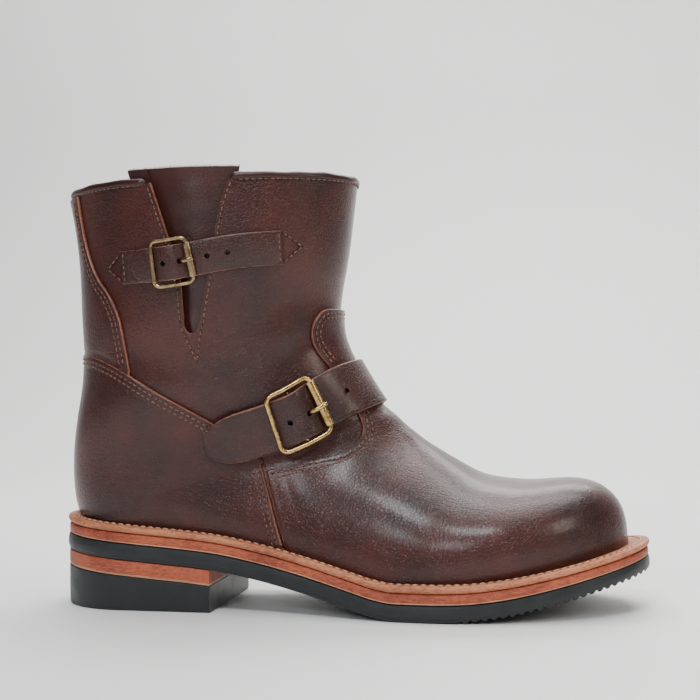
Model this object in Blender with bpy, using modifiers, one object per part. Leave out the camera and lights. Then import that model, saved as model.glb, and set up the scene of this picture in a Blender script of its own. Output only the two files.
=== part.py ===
"""Engineer boot for the right foot, standing empty on its sole.

X runs from the heel to the toe, Z up, and the outer (lateral) side of the boot
faces -Y. The origin is the centre of the heel's flat face on the floor.
All lengths are in metres.
"""

import math

import bmesh
import bpy
import numpy as np
from mathutils import Matrix, Vector, geometry

# Upper
UPPER_LENGTH = 0.2822  # back of the heel seat to the tip of the toe, at the feather line
BALL_WIDTH = 0.097
HEEL_WIDTH = 0.0648
ANKLE_WIDTH = 0.083
SHAFT_WIDTH = 0.102
INSTEP_RISE = 0.117  # feather line to the throat, where the shaft begins
SHAFT_RISE = 0.077  # throat to the collar
TOE_SWING = 0.005  # the toe's centre lies this far to the inner side
WALL = 0.0022
PANEL = 0.0015  # leather of the vamp and the back stay
COUNTER = 0.0020
LIFT = 0.0006  # between a panel and the upper under it
SEAM = 0.0005  # between the edges of two panels
BINDING = 0.0042
GUSSET = 0.0014
GUSSET_STAND = 0.0072  # gusset above the edge of the shaft

# Sole
HEEL_MARGIN = 0.0083
SIDE_MARGIN = 0.0078
TOE_MARGIN = 0.0120
HEEL_RISE = 0.0291  # heel seat above the ball
TOE_SPRING = 0.0170
HEEL_LENGTH = 0.0865
WELT = 0.0036
MIDSOLE = 0.0049
OUTSOLE = 0.0083
HEEL_LIFT = 0.0076
INSOLE_ABOVE = 0.0030
GAP = 0.0003
STAND = 0.0006  # the upper and its panels stand this far above the welt
CLEAR = 0.0009  # loose pieces inside the upper keep this far from its wall

# Instep strap and its buckle
STRAP_WIDTH = 0.0275
STRAP = 0.0022
CHAPE = 0.0012
BUCKLE_LONG = 0.0235  # between the centres of the outer bars
BUCKLE_HIGH = 0.0335
BUCKLE_ROD = 0.0024
BUCKLE_ROLLER = 0.0032
PRONG = 0.0018
BAR_STEP = 0.0016  # the centre bar dips under the strap this far in from the frame

# Shaft strap and its buckle
SHAFT_STRAP_WIDTH = 0.0170
SHAFT_STRAP = 0.0019
SHAFT_BUCKLE_LONG = 0.0186
SHAFT_BUCKLE_HIGH = 0.0225
SHAFT_BUCKLE_ROD = 0.0020
SHAFT_BUCKLE_ROLLER = 0.0027
HOLE = 0.0026

SOLE_BACK = -HEEL_LENGTH / 2
BREAST = HEEL_LENGTH / 2
UPPER_BACK = SOLE_BACK + HEEL_MARGIN
SOLE_LENGTH = UPPER_LENGTH + HEEL_MARGIN + TOE_MARGIN
STACK = WELT + MIDSOLE + OUTSOLE + 2 * GAP

# share of the sole's length, share of HEEL_RISE, share of TOE_SPRING
BOTTOM_LINE = [
    (0.000, 1.000, 0.00),
    (0.143, 0.869, 0.00),
    (0.286, 0.735, 0.00),
    (0.361, 0.598, 0.00),
    (0.443, 0.399, 0.00),
    (0.527, 0.158, 0.00),
    (0.570, 0.040, 0.00),
    (0.600, 0.000, 0.00),
    (0.660, 0.000, 0.00),
    (0.700, 0.000, 0.02),
    (0.766, 0.000, 0.13),
    (0.843, 0.000, 0.36),
    (0.918, 0.000, 0.65),
    (1.000, 0.000, 1.00),
]

# share of the upper's length, then half widths to each side as shares of BALL_WIDTH
FEATHER = [
    (0.00, 0.309, 0.309),
    (0.11, 0.309, 0.304),
    (0.20, 0.320, 0.304),
    (0.30, 0.332, 0.302),
    (0.40, 0.358, 0.304),
    (0.50, 0.402, 0.334),
    (0.58, 0.448, 0.376),
    (0.66, 0.484, 0.440),
    (0.73, 0.498, 0.484),
    (0.80, 0.490, 0.499),
    (0.88, 0.466, 0.494),
    (1.00, 0.425, 0.475),
]
HEEL_ROUND = 0.110
TOE_ROUND = 0.260

# Sections of the last, each a plane through a front point and a low point.
# front, low: share of the upper's length, then height as shares of the two rises
# lateral, medial: half widths; widest: where along the section
# full, square: shape in front of the widest point; low_full: shape behind it
# ridge: how far the front point lies to the inner side
SECTIONS = [
    # name, front_x, front_h, low_x, low_h, lateral, medial, widest, full, square, low_full, ridge
    ("collar", 0.526, 1.999, -0.017, 1.640, 0.500 * SHAFT_WIDTH, 0.500 * SHAFT_WIDTH, 0.52, 2.10, 2.00, 2.10, 0.000),
    ("shaft high", 0.518, 1.761, -0.007, 1.455, 0.487 * SHAFT_WIDTH, 0.487 * SHAFT_WIDTH, 0.52, 2.10, 2.00, 2.10, 0.000),
    ("shaft", 0.507, 1.464, 0.002, 1.199, 0.468 * SHAFT_WIDTH, 0.468 * SHAFT_WIDTH, 0.53, 2.10, 2.00, 2.15, 0.000),
    ("shaft low", 0.493, 1.190, 0.005, 0.943, 0.548 * ANKLE_WIDTH, 0.548 * ANKLE_WIDTH, 0.53, 2.10, 2.00, 2.20, 0.010),
    ("throat", 0.491, 1.006, 0.008, 0.773, 0.522 * ANKLE_WIDTH, 0.522 * ANKLE_WIDTH, 0.54, 2.15, 2.00, 2.30, 0.020),
    ("ankle", 0.504, 0.892, 0.008, 0.602, 0.496 * ANKLE_WIDTH, 0.496 * ANKLE_WIDTH, 0.55, 2.20, 2.00, 2.40, 0.030),
    ("instep high", 0.528, 0.788, -0.004, 0.420, 0.470 * ANKLE_WIDTH, 0.470 * ANKLE_WIDTH, 0.56, 2.35, 2.00, 2.80, 0.042),
    ("instep", 0.559, 0.696, -0.013, 0.221, 0.538 * HEEL_WIDTH, 0.538 * HEEL_WIDTH, 0.57, 2.45, 2.00, 3.20, 0.052),
    ("heel", 0.582, 0.658, -0.009, 0.069, 0.517 * HEEL_WIDTH, 0.517 * HEEL_WIDTH, 0.58, 2.50, 2.00, 3.60, 0.058),
    ("heel seat", 0.599, 0.626, 0.000, 0.000, 0.511 * HEEL_WIDTH, 0.511 * HEEL_WIDTH, 0.585, 2.50, 2.00, 3.80, 0.060),
    ("heel round", 0.620, 0.586, 0.046, 0.000, 0.511 * HEEL_WIDTH, 0.509 * HEEL_WIDTH, 0.585, 2.50, 2.00, 3.80, 0.062),
    ("heel front", 0.642, 0.545, 0.160, 0.000, 0.515 * HEEL_WIDTH, 0.505 * HEEL_WIDTH, 0.585, 2.45, 2.00, 3.50, 0.062),
    ("waist", 0.668, 0.506, 0.300, 0.000, 0.362 * BALL_WIDTH, 0.330 * BALL_WIDTH, 0.60, 2.40, 2.00, 2.90, 0.060),
    ("waist front", 0.698, 0.462, 0.460, 0.000, 0.415 * BALL_WIDTH, 0.352 * BALL_WIDTH, 0.66, 2.35, 2.00, 2.50, 0.056),
    ("ball back", 0.737, 0.402, 0.600, 0.000, 0.474 * BALL_WIDTH, 0.432 * BALL_WIDTH, 0.72, 2.30, 2.00, 2.30, 0.046),
    ("ball", 0.786, 0.362, 0.715, 0.000, 0.505 * BALL_WIDTH, 0.500 * BALL_WIDTH, 0.77, 2.30, 2.05, 2.40, 0.030),
    ("toe box", 0.845, 0.332, 0.825, 0.000, 0.505 * BALL_WIDTH, 0.500 * BALL_WIDTH, 0.81, 2.40, 2.15, 2.20, 0.015),
    ("toe box front", 0.900, 0.315, 0.905, 0.000, 0.505 * BALL_WIDTH, 0.500 * BALL_WIDTH, 0.80, 2.45, 2.20, 2.10, 0.005),
    ("toe edge", 0.948, 0.272, 0.960, 0.000, 0.505 * BALL_WIDTH, 0.500 * BALL_WIDTH, 0.76, 2.40, 2.20, 2.10, 0.000),
    ("toe wall high", 0.981, 0.195, 0.988, 0.000, 0.505 * BALL_WIDTH, 0.500 * BALL_WIDTH, 0.70, 2.30, 2.15, 2.10, 0.000),
    ("toe wall", 0.996, 0.105, 0.998, 0.000, 0.505 * BALL_WIDTH, 0.500 * BALL_WIDTH, 0.62, 2.20, 2.10, 2.00, 0.000),
    ("toe tip", 1.000, 0.000, 1.000, 0.000, 0.505 * BALL_WIDTH, 0.500 * BALL_WIDTH, 0.55, 2.10, 2.00, 2.00, 0.000),
]
SEAT = 9  # the section that ends at the back of the heel seat
TIP = len(SECTIONS) - 1
TOE_BULGE = 1.03

# Side views of the seams: share of the upper's length, height as shares of the rises
SLOT_FRONT = [(0.318, 1.93), (0.307, 1.65), (0.297, 1.459), (0.275, 1.067), (0.262, 0.900)]
SLOT_BACK = [(0.181, 1.80), (0.207, 1.50), (0.236, 1.184), (0.243, 0.950), (0.247, 0.890)]
COUNTER_TOP = [(-0.001, 0.722), (0.070, 0.706), (0.180, 0.590), (0.296, 0.454), (0.360, 0.372)]
COUNTER_FRONT = [(0.366, 0.330), (0.378, 0.240), (0.396, 0.110), (0.412, 0.000)]
TONGUE = [(0.491, 1.115), (0.476, 1.098), (0.461, 1.030), (0.453, 0.930), (0.462, 0.870), (0.482, 0.810)]
LOBE = [(0.508, 0.720), (0.533, 0.630), (0.540, 0.580), (0.534, 0.525), (0.513, 0.466), (0.486, 0.428), (0.430, 0.365), (0.376, 0.305)]
STAY_SIDE = [(0.048, 1.640), (0.056, 1.450), (0.069, 1.200), (0.090, 1.030), (0.112, 0.932), (0.130, 0.807), (0.136, 0.668)]

# The straps' centre lines in side view, tail first
STRAP_LINE = [(0.268, 0.372), (0.340, 0.452), (0.428, 0.572), (0.498, 0.706)]
SHAFT_STRAP_LINE = [(0.128, 1.170), (0.227, 1.222), (0.320, 1.322), (0.414, 1.428)]


def smoothstep(value):
    value = np.clip(value, 0.0, 1.0)
    return value * value * (3.0 - 2.0 * value)


class Smooth:
    """A cubic spline through values at rising stations, flat at its ends when asked."""

    def __init__(self, stations, values, flat=False):
        x = np.array(stations, float)
        y = np.array(values, float)
        n = len(x)
        h = np.diff(x)
        rows = np.zeros((n, n))
        right = np.zeros(n)
        rows[0, 0] = rows[-1, -1] = 1.0
        if flat:
            rows[0, :2] = 2 * h[0], h[0]
            right[0] = 6 * (y[1] - y[0]) / h[0]
            rows[-1, -2:] = h[-1], 2 * h[-1]
            right[-1] = -6 * (y[-1] - y[-2]) / h[-1]
        for i in range(1, n - 1):
            rows[i, i - 1 : i + 2] = h[i - 1], 2 * (h[i - 1] + h[i]), h[i]
            right[i] = 6 * ((y[i + 1] - y[i]) / h[i] - (y[i] - y[i - 1]) / h[i - 1])
        self.x, self.y, self.h, self.bend = x, y, h, np.linalg.solve(rows, right)

    def __call__(self, at):
        at = np.clip(np.asarray(at, float), self.x[0], self.x[-1])
        i = np.clip(np.searchsorted(self.x, at, side="right") - 1, 0, len(self.h) - 1)
        h = self.h[i]
        a = (self.x[i + 1] - at) / h
        b = (at - self.x[i]) / h
        return a * self.y[i] + b * self.y[i + 1] + ((a**3 - a) * self.bend[i] + (b**3 - b) * self.bend[i + 1]) * h * h / 6


class Steady:
    """A cubic that never overshoots the values it passes through."""

    def __init__(self, stations, values):
        x = np.array(stations, float)
        y = np.array(values, float)
        h = np.diff(x)
        step = np.diff(y) / h
        slope = np.zeros(len(x))
        slope[0], slope[-1] = step[0], step[-1]
        for i in range(1, len(x) - 1):
            if step[i - 1] * step[i] > 0:
                w1, w2 = 2 * h[i] + h[i - 1], h[i] + 2 * h[i - 1]
                slope[i] = (w1 + w2) / (w1 / step[i - 1] + w2 / step[i])
        self.x, self.y, self.h, self.slope = x, y, h, slope

    def __call__(self, at):
        at = np.clip(np.asarray(at, float), self.x[0], self.x[-1])
        i = np.clip(np.searchsorted(self.x, at, side="right") - 1, 0, len(self.h) - 1)
        h = self.h[i]
        k = (at - self.x[i]) / h
        return (
            self.y[i] * (1 + 2 * k) * (1 - k) ** 2
            + self.y[i + 1] * k * k * (3 - 2 * k)
            + h * self.slope[i] * k * (1 - k) ** 2
            - h * self.slope[i + 1] * k * k * (1 - k)
        )


heel_share = Steady([row[0] for row in BOTTOM_LINE], [row[1] for row in BOTTOM_LINE])
toe_share = Steady([row[0] for row in BOTTOM_LINE], [row[2] for row in BOTTOM_LINE])
feather_lateral = Smooth([row[0] for row in FEATHER], [row[1] for row in FEATHER])
feather_medial = Smooth([row[0] for row in FEATHER], [row[2] for row in FEATHER])


def welt_top(x):
    """Height of the welt's upper face, which the upper stands on."""
    share = (np.asarray(x, float) - SOLE_BACK) / SOLE_LENGTH
    return STACK + HEEL_RISE * heel_share(share) + TOE_SPRING * toe_share(share)


def thinning(x):
    """The layers of the sole get thinner under the toe."""
    share = (np.asarray(x, float) - SOLE_BACK) / SOLE_LENGTH
    return 1.0 - 0.16 * smoothstep((share - 0.72) / 0.28)


def centre(x):
    share = (np.asarray(x, float) - UPPER_BACK) / UPPER_LENGTH
    return TOE_SWING * smoothstep((share - 0.55) / 0.45)


def feather(share, medial):
    """Half width of the last's bottom edge on one side."""
    share = np.clip(np.asarray(share, float), 0.0, 1.0)
    table = feather_medial(share) if medial else feather_lateral(share)
    heel = np.sqrt(np.clip(1.0 - np.clip(1.0 - share / HEEL_ROUND, 0, 1) ** 2, 0, 1))
    toe = np.clip(1.0 - np.clip((share - 1.0 + TOE_ROUND) / TOE_ROUND, 0, 1) ** 2.25, 0, 1) ** (1 / 2.1)
    return table * BALL_WIDTH * heel * toe


def rise(share):
    share = np.asarray(share, float)
    return np.where(share <= 1.0, share * INSTEP_RISE, INSTEP_RISE + (share - 1.0) * SHAFT_RISE)


def side_point(x_share, h_share):
    """Side view point of the upper from its shares."""
    x = UPPER_BACK + x_share * UPPER_LENGTH
    return x, welt_top(x) + STAND + rise(h_share)


ROWS = range(len(SECTIONS))
front_x = Smooth(ROWS, [row[1] for row in SECTIONS])
front_h = Smooth(ROWS, [row[2] for row in SECTIONS])
back_x = Smooth(ROWS[: SEAT + 1], [row[3] for row in SECTIONS[: SEAT + 1]])
back_h = Smooth(ROWS[: SEAT + 1], [row[4] for row in SECTIONS[: SEAT + 1]])
seat_x = Smooth(ROWS[SEAT:], [row[3] for row in SECTIONS[SEAT:]], flat=True)
wide_lateral = Smooth(ROWS, [row[5] for row in SECTIONS])
wide_medial = Smooth(ROWS, [row[6] for row in SECTIONS])
widest_at = Smooth(ROWS, [row[7] for row in SECTIONS])
fullness = Smooth(ROWS, [row[8] for row in SECTIONS])
squareness = Smooth(ROWS, [row[9] for row in SECTIONS])
low_fullness = Smooth(ROWS, [row[10] for row in SECTIONS])
ridge = Smooth(ROWS, [row[11] for row in SECTIONS])


def section_ends(s):
    """Side view of a section's front point and low point."""
    s = np.asarray(s, float)
    top = side_point(front_x(s), np.clip(front_h(s), 0.0, None))
    low_share = np.where(s <= SEAT, back_x(np.minimum(s, SEAT)), seat_x(np.maximum(s, SEAT)))
    low_rise = np.where(s < SEAT, back_h(np.minimum(s, SEAT)), 0.0)
    low = side_point(low_share, np.clip(low_rise, 0.0, None))
    return top, low, low_share


def skin(s, t):
    """Points of the upper's outer face. t runs from -1 at the low end of the
    outer side over 0 in front to 1 at the low end of the inner side."""
    s, t = np.broadcast_arrays(np.asarray(s, float), np.asarray(t, float))
    (tx, tz), (bx, bz), low_share = section_ends(s)
    medial = t > 0
    a = np.clip(np.abs(t), 0.0, 1.0)
    edge = np.where(s > SEAT, np.where(medial, feather(low_share, True), feather(low_share, False)), 0.0)
    blend = smoothstep((s - 13.5) / 1.5)
    wide = np.where(medial, wide_medial(s), wide_lateral(s)) * (1 - blend) + edge * TOE_BULGE * blend
    split = widest_at(s)
    phi = np.clip(a / split, 0, 1) * math.pi / 2
    psi = np.clip((a - split) / (1 - split), 0, 1) * math.pi / 2
    along = split * (1 - np.cos(phi)) + (1 - split) * np.sin(psi)
    upper = np.clip(1 - np.clip(np.cos(phi), 0, 1) ** fullness(s), 0, 1) ** (1 / squareness(s))
    cut = 1 - np.clip(edge / np.maximum(wide, 1e-9), 0, 1) ** 2
    lower = np.sqrt(np.clip(1 - cut * np.sin(psi) ** low_fullness(s), 0, 1))
    x = tx + (bx - tx) * along
    z = tz + (bz - tz) * along
    half = wide * np.where(a < split, upper, lower)
    y = np.where(medial, half, -half) + centre(x) + ridge(s) * BALL_WIDTH * (1 - along) ** 2
    return np.stack([x, y, z], axis=-1)


def skin_normal(s, t):
    """Outward normals of the upper's outer face."""
    s, t = np.broadcast_arrays(np.asarray(s, float), np.asarray(t, float))
    s = np.clip(s, 0.0, TIP - 0.02)

    def one(t):
        ds, dt = 0.02, 0.006
        along = skin(np.minimum(s + ds, TIP), t) - skin(np.maximum(s - ds, 0.0), t)
        across = skin(s, np.minimum(t + dt, 1.0)) - skin(s, np.maximum(t - dt, -1.0))
        n = np.cross(along, across)
        return n / np.maximum(np.linalg.norm(n, axis=-1, keepdims=True), 1e-12)

    normal = one(t)
    joined = ((s <= SEAT) & (np.abs(t) > 0.999))[..., None]
    normal = np.where(joined, one(t) + one(-t), normal)
    tip = (s > TIP - 0.05)[..., None]
    normal = np.where(tip, np.array([1.0, 0.0, 0.0]), normal)
    return normal / np.linalg.norm(normal, axis=-1, keepdims=True)


SCAN = np.linspace(0.0, TIP - 0.3, 1200)


def locate(x, z):
    """Section and distance around it of a side view point, on either side."""
    (tx, tz), (bx, bz), _ = section_ends(SCAN)
    side = (bx - tx) * (z - tz) - (bz - tz) * (x - tx)
    along = ((x - tx) * (bx - tx) + (z - tz) * (bz - tz)) / ((bx - tx) ** 2 + (bz - tz) ** 2)
    hits = np.nonzero((side[:-1] * side[1:] <= 0) & (along[:-1] > -0.25) & (along[:-1] < 1.25))[0]
    if len(hits):
        i = hits[0]
        k = side[i] / (side[i] - side[i + 1]) if side[i] != side[i + 1] else 0.0
        s = SCAN[i] + (SCAN[i + 1] - SCAN[i]) * k
    else:
        s = 0.0 if z > tz[0] else float(SCAN[np.argmin(np.hypot(bx - x, bz - z))])
    (tx, tz), (bx, bz), _ = section_ends(s)
    along = ((x - tx) * (bx - tx) + (z - tz) * (bz - tz)) / ((bx - tx) ** 2 + (bz - tz) ** 2)
    along = float(np.clip(along, 0.0, 1.0))
    split = float(widest_at(s))
    if along < split:
        t = split * math.acos(1 - along / split) / (math.pi / 2)
    else:
        t = split + (1 - split) * math.asin(min((along - split) / (1 - split), 1.0)) / (math.pi / 2)
    return float(s), t


def located(points):
    return [locate(*side_point(x, h)) for x, h in points]


def on_side(x, z, depth):
    """A point of the outer side at this side view place, depth out from its face.
    Above the collar the face goes on straight up."""
    s, t = locate(x, z)
    base = skin(s, -t)
    above = max(z - float(base[2]), 0.0) if s <= 1e-6 else 0.0
    return base + skin_normal(s, -t) * depth + np.array([x - base[0], 0.0, above if above else z - base[2]])


for item in list(bpy.data.objects):
    bpy.data.objects.remove(item, do_unlink=True)

scene = bpy.context.scene
parts = bpy.data.collections.new("engineer_boot")
scene.collection.children.link(parts)
cutters = bpy.data.collections.new("cutters")
scene.collection.children.link(cutters)


def material(name, colour, roughness, metallic=0.0):
    made = bpy.data.materials.new(name)
    made.use_nodes = True
    shader = made.node_tree.nodes["Principled BSDF"]
    shader.inputs["Base Color"].default_value = (*colour, 1.0)
    shader.inputs["Roughness"].default_value = roughness
    shader.inputs["Metallic"].default_value = metallic
    return made


def add_mesh(name, points, faces, look, collection=parts, smooth=True):
    """An object from points and faces, welded and facing out."""
    mesh = bpy.data.meshes.new(name)
    mesh.from_pydata([tuple(map(float, p)) for p in points], [], [tuple(map(int, f)) for f in faces])
    work = bmesh.new()
    work.from_mesh(mesh)
    bmesh.ops.remove_doubles(work, verts=work.verts, dist=1e-6)
    bmesh.ops.dissolve_degenerate(work, edges=work.edges, dist=1e-6)
    bmesh.ops.recalc_face_normals(work, faces=work.faces)
    work.to_mesh(mesh)
    work.free()
    made = bpy.data.objects.new(name, mesh)
    if look:
        mesh.materials.append(material(name, *look))
    collection.objects.link(made)
    if smooth:
        mesh.shade_smooth()
        mesh.set_sharp_from_angle(angle=math.radians(40))
    return made


def as_cutter(item):
    item.display_type = "WIRE"
    item.hide_render = True
    return item


def cut(item, cutter, operation="DIFFERENCE"):
    step = item.modifiers.new(cutter.name, "BOOLEAN")
    step.operation = operation
    step.object = cutter
    step.solver = "EXACT"


LEATHER = ((0.075, 0.020, 0.013), 0.34)
EDGE_LEATHER = ((0.110, 0.034, 0.022), 0.45)
BRASS = ((0.56, 0.43, 0.20), 0.32, 1.0)
OLD_BRASS = ((0.34, 0.25, 0.12), 0.40, 1.0)
RUBBER = ((0.018, 0.022, 0.026), 0.62)


def above_welt(points):
    points = np.array(points, float)
    points[:, 2] = np.maximum(points[:, 2], welt_top(points[:, 0]) + STAND)
    return points


# The upper: one wall from the collar to the feather line, open underneath
ROW_STATIONS = np.array(
    [0, 0.9, 1.8, 2.7, 3.4, 4, 4.6, 5.2, 5.8, 6.5, 7.2, 7.8, 8.4, 9, 9.4, 9.8, 10.3, 10.8, 11.2, 11.6, 11.95, 12.3, 12.65]
    + [13.0, 13.7, 14.4, 15.1, 15.9, 16.7, 17.5, 18.2, 18.9, 19.5, 20.0, 20.5, 21]
)
AROUND = 36


def build_upper():
    columns = np.linspace(-1, 1, AROUND + 1)
    s, t = np.meshgrid(ROW_STATIONS, columns, indexing="ij")
    outer = skin(s, t)
    inner = outer - skin_normal(s, t) * WALL
    count = outer.shape[0] * outer.shape[1]
    points = above_welt(np.concatenate([outer.reshape(-1, 3), inner.reshape(-1, 3)]))
    wide = AROUND + 1
    faces = []
    for i in range(len(ROW_STATIONS) - 1):
        for j in range(AROUND):
            a, b = i * wide + j, i * wide + j + 1
            c, d = b + wide, a + wide
            faces.append((a, b, c, d))
            faces.append((count + d, count + c, count + b, count + a))
    for j in range(AROUND):
        faces.append((j + 1, j, count + j, count + j + 1))
    for i in range(SEAT_ROW, len(ROW_STATIONS) - 1):
        a, b = i * wide, (i + 1) * wide
        faces.append((a, b, count + b, count + a))
        faces.append((b + wide - 1, a + wide - 1, count + a + wide - 1, count + b + wide - 1))
    return add_mesh("upper", points, triangles(faces), LEATHER)


def triangles(faces):
    out = []
    for face in faces:
        for k in range(1, len(face) - 1):
            out.append((face[0], face[k], face[k + 1]))
    return out


SEAT_ROW = int(np.nonzero(ROW_STATIONS == SEAT)[0][0])
upper = build_upper()


def slot_outline(shift=0.0):
    """Side view outline of the slot for the gusset, wide open at the collar."""
    front = [side_point(x, h) for x, h in SLOT_FRONT]
    back = [side_point(x, h) for x, h in SLOT_BACK]
    start = front[0][0] + (front[0][0] - front[1][0]) * 1.5, front[0][1] + (front[0][1] - front[1][1]) * 1.5
    end = back[0][0] + (back[0][0] - back[1][0]) * 1.5, back[0][1] + (back[0][1] - back[1][1]) * 1.5
    low = ((front[-1][0] + back[-1][0]) / 2, min(front[-1][1], back[-1][1]) - 0.0024)
    mids = [
        ((front[-1][0] * 3 + back[-1][0]) / 4, (low[1] + front[-1][1]) / 2 - 0.0005),
        low,
        ((front[-1][0] + back[-1][0] * 3) / 4, (low[1] + back[-1][1]) / 2 - 0.0005),
    ]
    return [start, *front, *mids, *back[::-1], end]


def slot_cutter():
    outline = slot_outline()
    points = [(x, -SHAFT_WIDTH, z) for x, z in outline] + [(x, -SHAFT_WIDTH * 0.12, z) for x, z in outline]
    n = len(outline)
    faces = [tuple(range(n)), tuple(range(2 * n - 1, n - 1, -1))]
    faces += [(i, i + n, (i + 1) % n + n, (i + 1) % n) for i in range(n)]
    return as_cutter(add_mesh("slot_cutter", points, faces, None, cutters, smooth=False))


cut(upper, slot_cutter())


# Overlays follow the upper's face, with their own outline
PANEL_END = 0.955  # the panels end just above the welt
ACROSS_SCALE, ROW_SCALE = 0.170, 0.016


def opened(s):
    return 0.05 * np.maximum(np.asarray(s, float) - SEAT, 0.0)


def to_chart(s, t, back):
    """Flat chart of the face. The back chart is centred on the heel and keeps
    the open bottom as a notch."""
    if not back:
        return t * ACROSS_SCALE, s * ROW_SCALE
    return np.sign(t) * (1 - np.abs(t) + opened(s)) * ACROSS_SCALE, s * ROW_SCALE


def from_chart(u, v, back):
    s = v / ROW_SCALE
    if not back:
        return s, u / ACROSS_SCALE
    u = u / ACROSS_SCALE
    side = np.where(u < 0, -1.0, 1.0)
    return s, side * np.clip(1 - np.maximum(np.abs(u) - opened(s), 0), 0, 1)


def inside(points, outline):
    x, y = points[:, 0], points[:, 1]
    hit = np.zeros(len(points), bool)
    for (ax, ay), (bx, by) in zip(outline, np.roll(outline, -1, axis=0)):
        crosses = (ay > y) != (by > y)
        with np.errstate(divide="ignore", invalid="ignore"):
            where = (bx - ax) * (y - ay) / (by - ay) + ax
        hit ^= crosses & (x < where)
    return hit


def distance_to(points, outline):
    best = np.full(len(points), 1e9)
    for a, b in zip(outline, np.roll(outline, -1, axis=0)):
        along = b - a
        k = np.clip(((points - a) @ along) / max(along @ along, 1e-18), 0, 1)
        best = np.minimum(best, np.linalg.norm(points - (a + k[:, None] * along), axis=1))
    return best


def panel(name, corners, thickness, look, back=False, step=0.008):
    """A shell of even thickness over the upper, inside a closed run of (s, t) corners."""
    chart = np.array([to_chart(s, t, back) for s, t in corners])
    outline = []
    for a, b in zip(chart, np.roll(chart, -1, axis=0)):
        pieces = max(1, int(math.ceil(np.linalg.norm(b - a) / step)))
        outline += [a + (b - a) * k / pieces for k in range(pieces)]
    outline = np.array(outline)
    keep = np.linalg.norm(outline - np.roll(outline, 1, axis=0), axis=1) > 1e-7
    outline = outline[keep]
    s, t = np.meshgrid(ROW_STATIONS, np.linspace(-1, 1, AROUND + 1), indexing="ij")
    grid = np.stack(to_chart(s.ravel(), np.where(t.ravel() == 0, 1e-9, t.ravel()), back), axis=-1)
    grid = grid[inside(grid, outline)]
    grid = grid[distance_to(grid, outline) > 0.35 * step]
    grid = np.unique(np.round(grid, 7), axis=0)
    points = [Vector(p) for p in np.concatenate([outline, grid])]
    made = geometry.delaunay_2d_cdt(points, [], [list(range(len(outline)))], 1, 1e-7)
    flat = np.array([tuple(p) for p in made[0]])
    faces = [tuple(f) for f in made[2]]
    s, t = from_chart(flat[:, 0], flat[:, 1], back)
    base = skin(s, t)
    normal = skin_normal(s, t)
    low = above_welt(base + normal * LIFT)
    high = above_welt(base + normal * (LIFT + thickness))
    n = len(flat)
    solid = list(faces) + [tuple(k + n for k in reversed(f)) for f in faces]
    edges = {}
    for face in faces:
        for a, b in zip(face, face[1:] + face[:1]):
            edges[(a, b)] = edges.get((a, b), 0) + 1
    for a, b in edges:
        if (b, a) not in edges:
            solid.append((b, a, a + n, b + n))
    return add_mesh(name, np.concatenate([low, high]), triangles(solid), look)


def mirrored(corners):
    return [(s, -t) for s, t in reversed(corners)]


def lateral(points):
    return [(s, -t) for s, t in located(points)]


def curve_through(points, count):
    """Evenly spread points along a smooth line through side view points."""
    points = np.array(points, float)
    length = np.concatenate([[0], np.cumsum(np.hypot(*np.diff(points * [1.0, 0.4], axis=0).T))])
    xs, ys = Smooth(length, points[:, 0]), Smooth(length, points[:, 1])
    at = np.linspace(0, length[-1], count)
    return list(zip(xs(at), ys(at)))


def vamp_outline():
    rear = located(curve_through(TONGUE, 8)) + located(curve_through(LOBE, 12))
    apart = SEAM / UPPER_LENGTH + 0.003
    front = located([(x + apart, h) for x, h in curve_through(COUNTER_FRONT, 7)[:-1]])
    seat = share_row(COUNTER_FRONT[-1][0] + apart)
    rear = [(rear[0][0], 0.0)] + rear[1:]
    side = rear + front + [(seat, PANEL_END)]
    rows = [s for s in ROW_STATIONS if s > seat + 0.2]
    side += [(s, PANEL_END) for s in rows]
    outer = [(s, -t) for s, t in side]
    across = [(float(TIP), t) for t in np.linspace(-PANEL_END, PANEL_END, 9)[1:-1]]
    return outer + across + mirrored([(s, -t) for s, t in side])[:-1]


def share_row(x_share):
    """The section whose low point lies at this share of the upper's length."""
    rows = np.linspace(SEAT, TIP, 600)
    return float(np.interp(x_share, seat_x(rows), rows))


def counter_outline():
    top = located(curve_through(COUNTER_TOP, 9))
    front = located(curve_through(COUNTER_FRONT, 7)[:-1])
    seat = share_row(COUNTER_FRONT[-1][0])
    top = [(top[0][0], 1.0)] + top[1:]
    side = top + front + [(seat, PANEL_END)]
    rows = [s for s in ROW_STATIONS[::-1] if SEAT < s < seat - 0.2]
    side += [(s, PANEL_END) for s in rows]
    outer = [(s, -t) for s, t in side]
    heel = [(SEAT - 0.04, 1.0)]
    return outer + heel + [(s, -t) for s, t in reversed(outer)][:-1]


def stay_outline():
    side = located(curve_through(STAY_SIDE, 9))
    outer = [(0.10, -1.0)] + [(s, -t) for s, t in side]
    low = locate(*side_point(COUNTER_TOP[0][0], COUNTER_TOP[0][1] + 0.012))
    outer += [(s, -t) for s, t in located([(0.070, 0.726)])] + [(low[0], -1.0)]
    outer[0] = (max(outer[1][0] - 0.02, 0.08), -1.0)
    return outer + [(s, -t) for s, t in reversed(outer[1:-1])]


vamp = panel("vamp", vamp_outline(), PANEL, LEATHER)
counter = panel("counter", counter_outline(), COUNTER, LEATHER, back=True)
back_stay = panel("back_stay", stay_outline(), PANEL - 0.0002, LEATHER, back=True)


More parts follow.
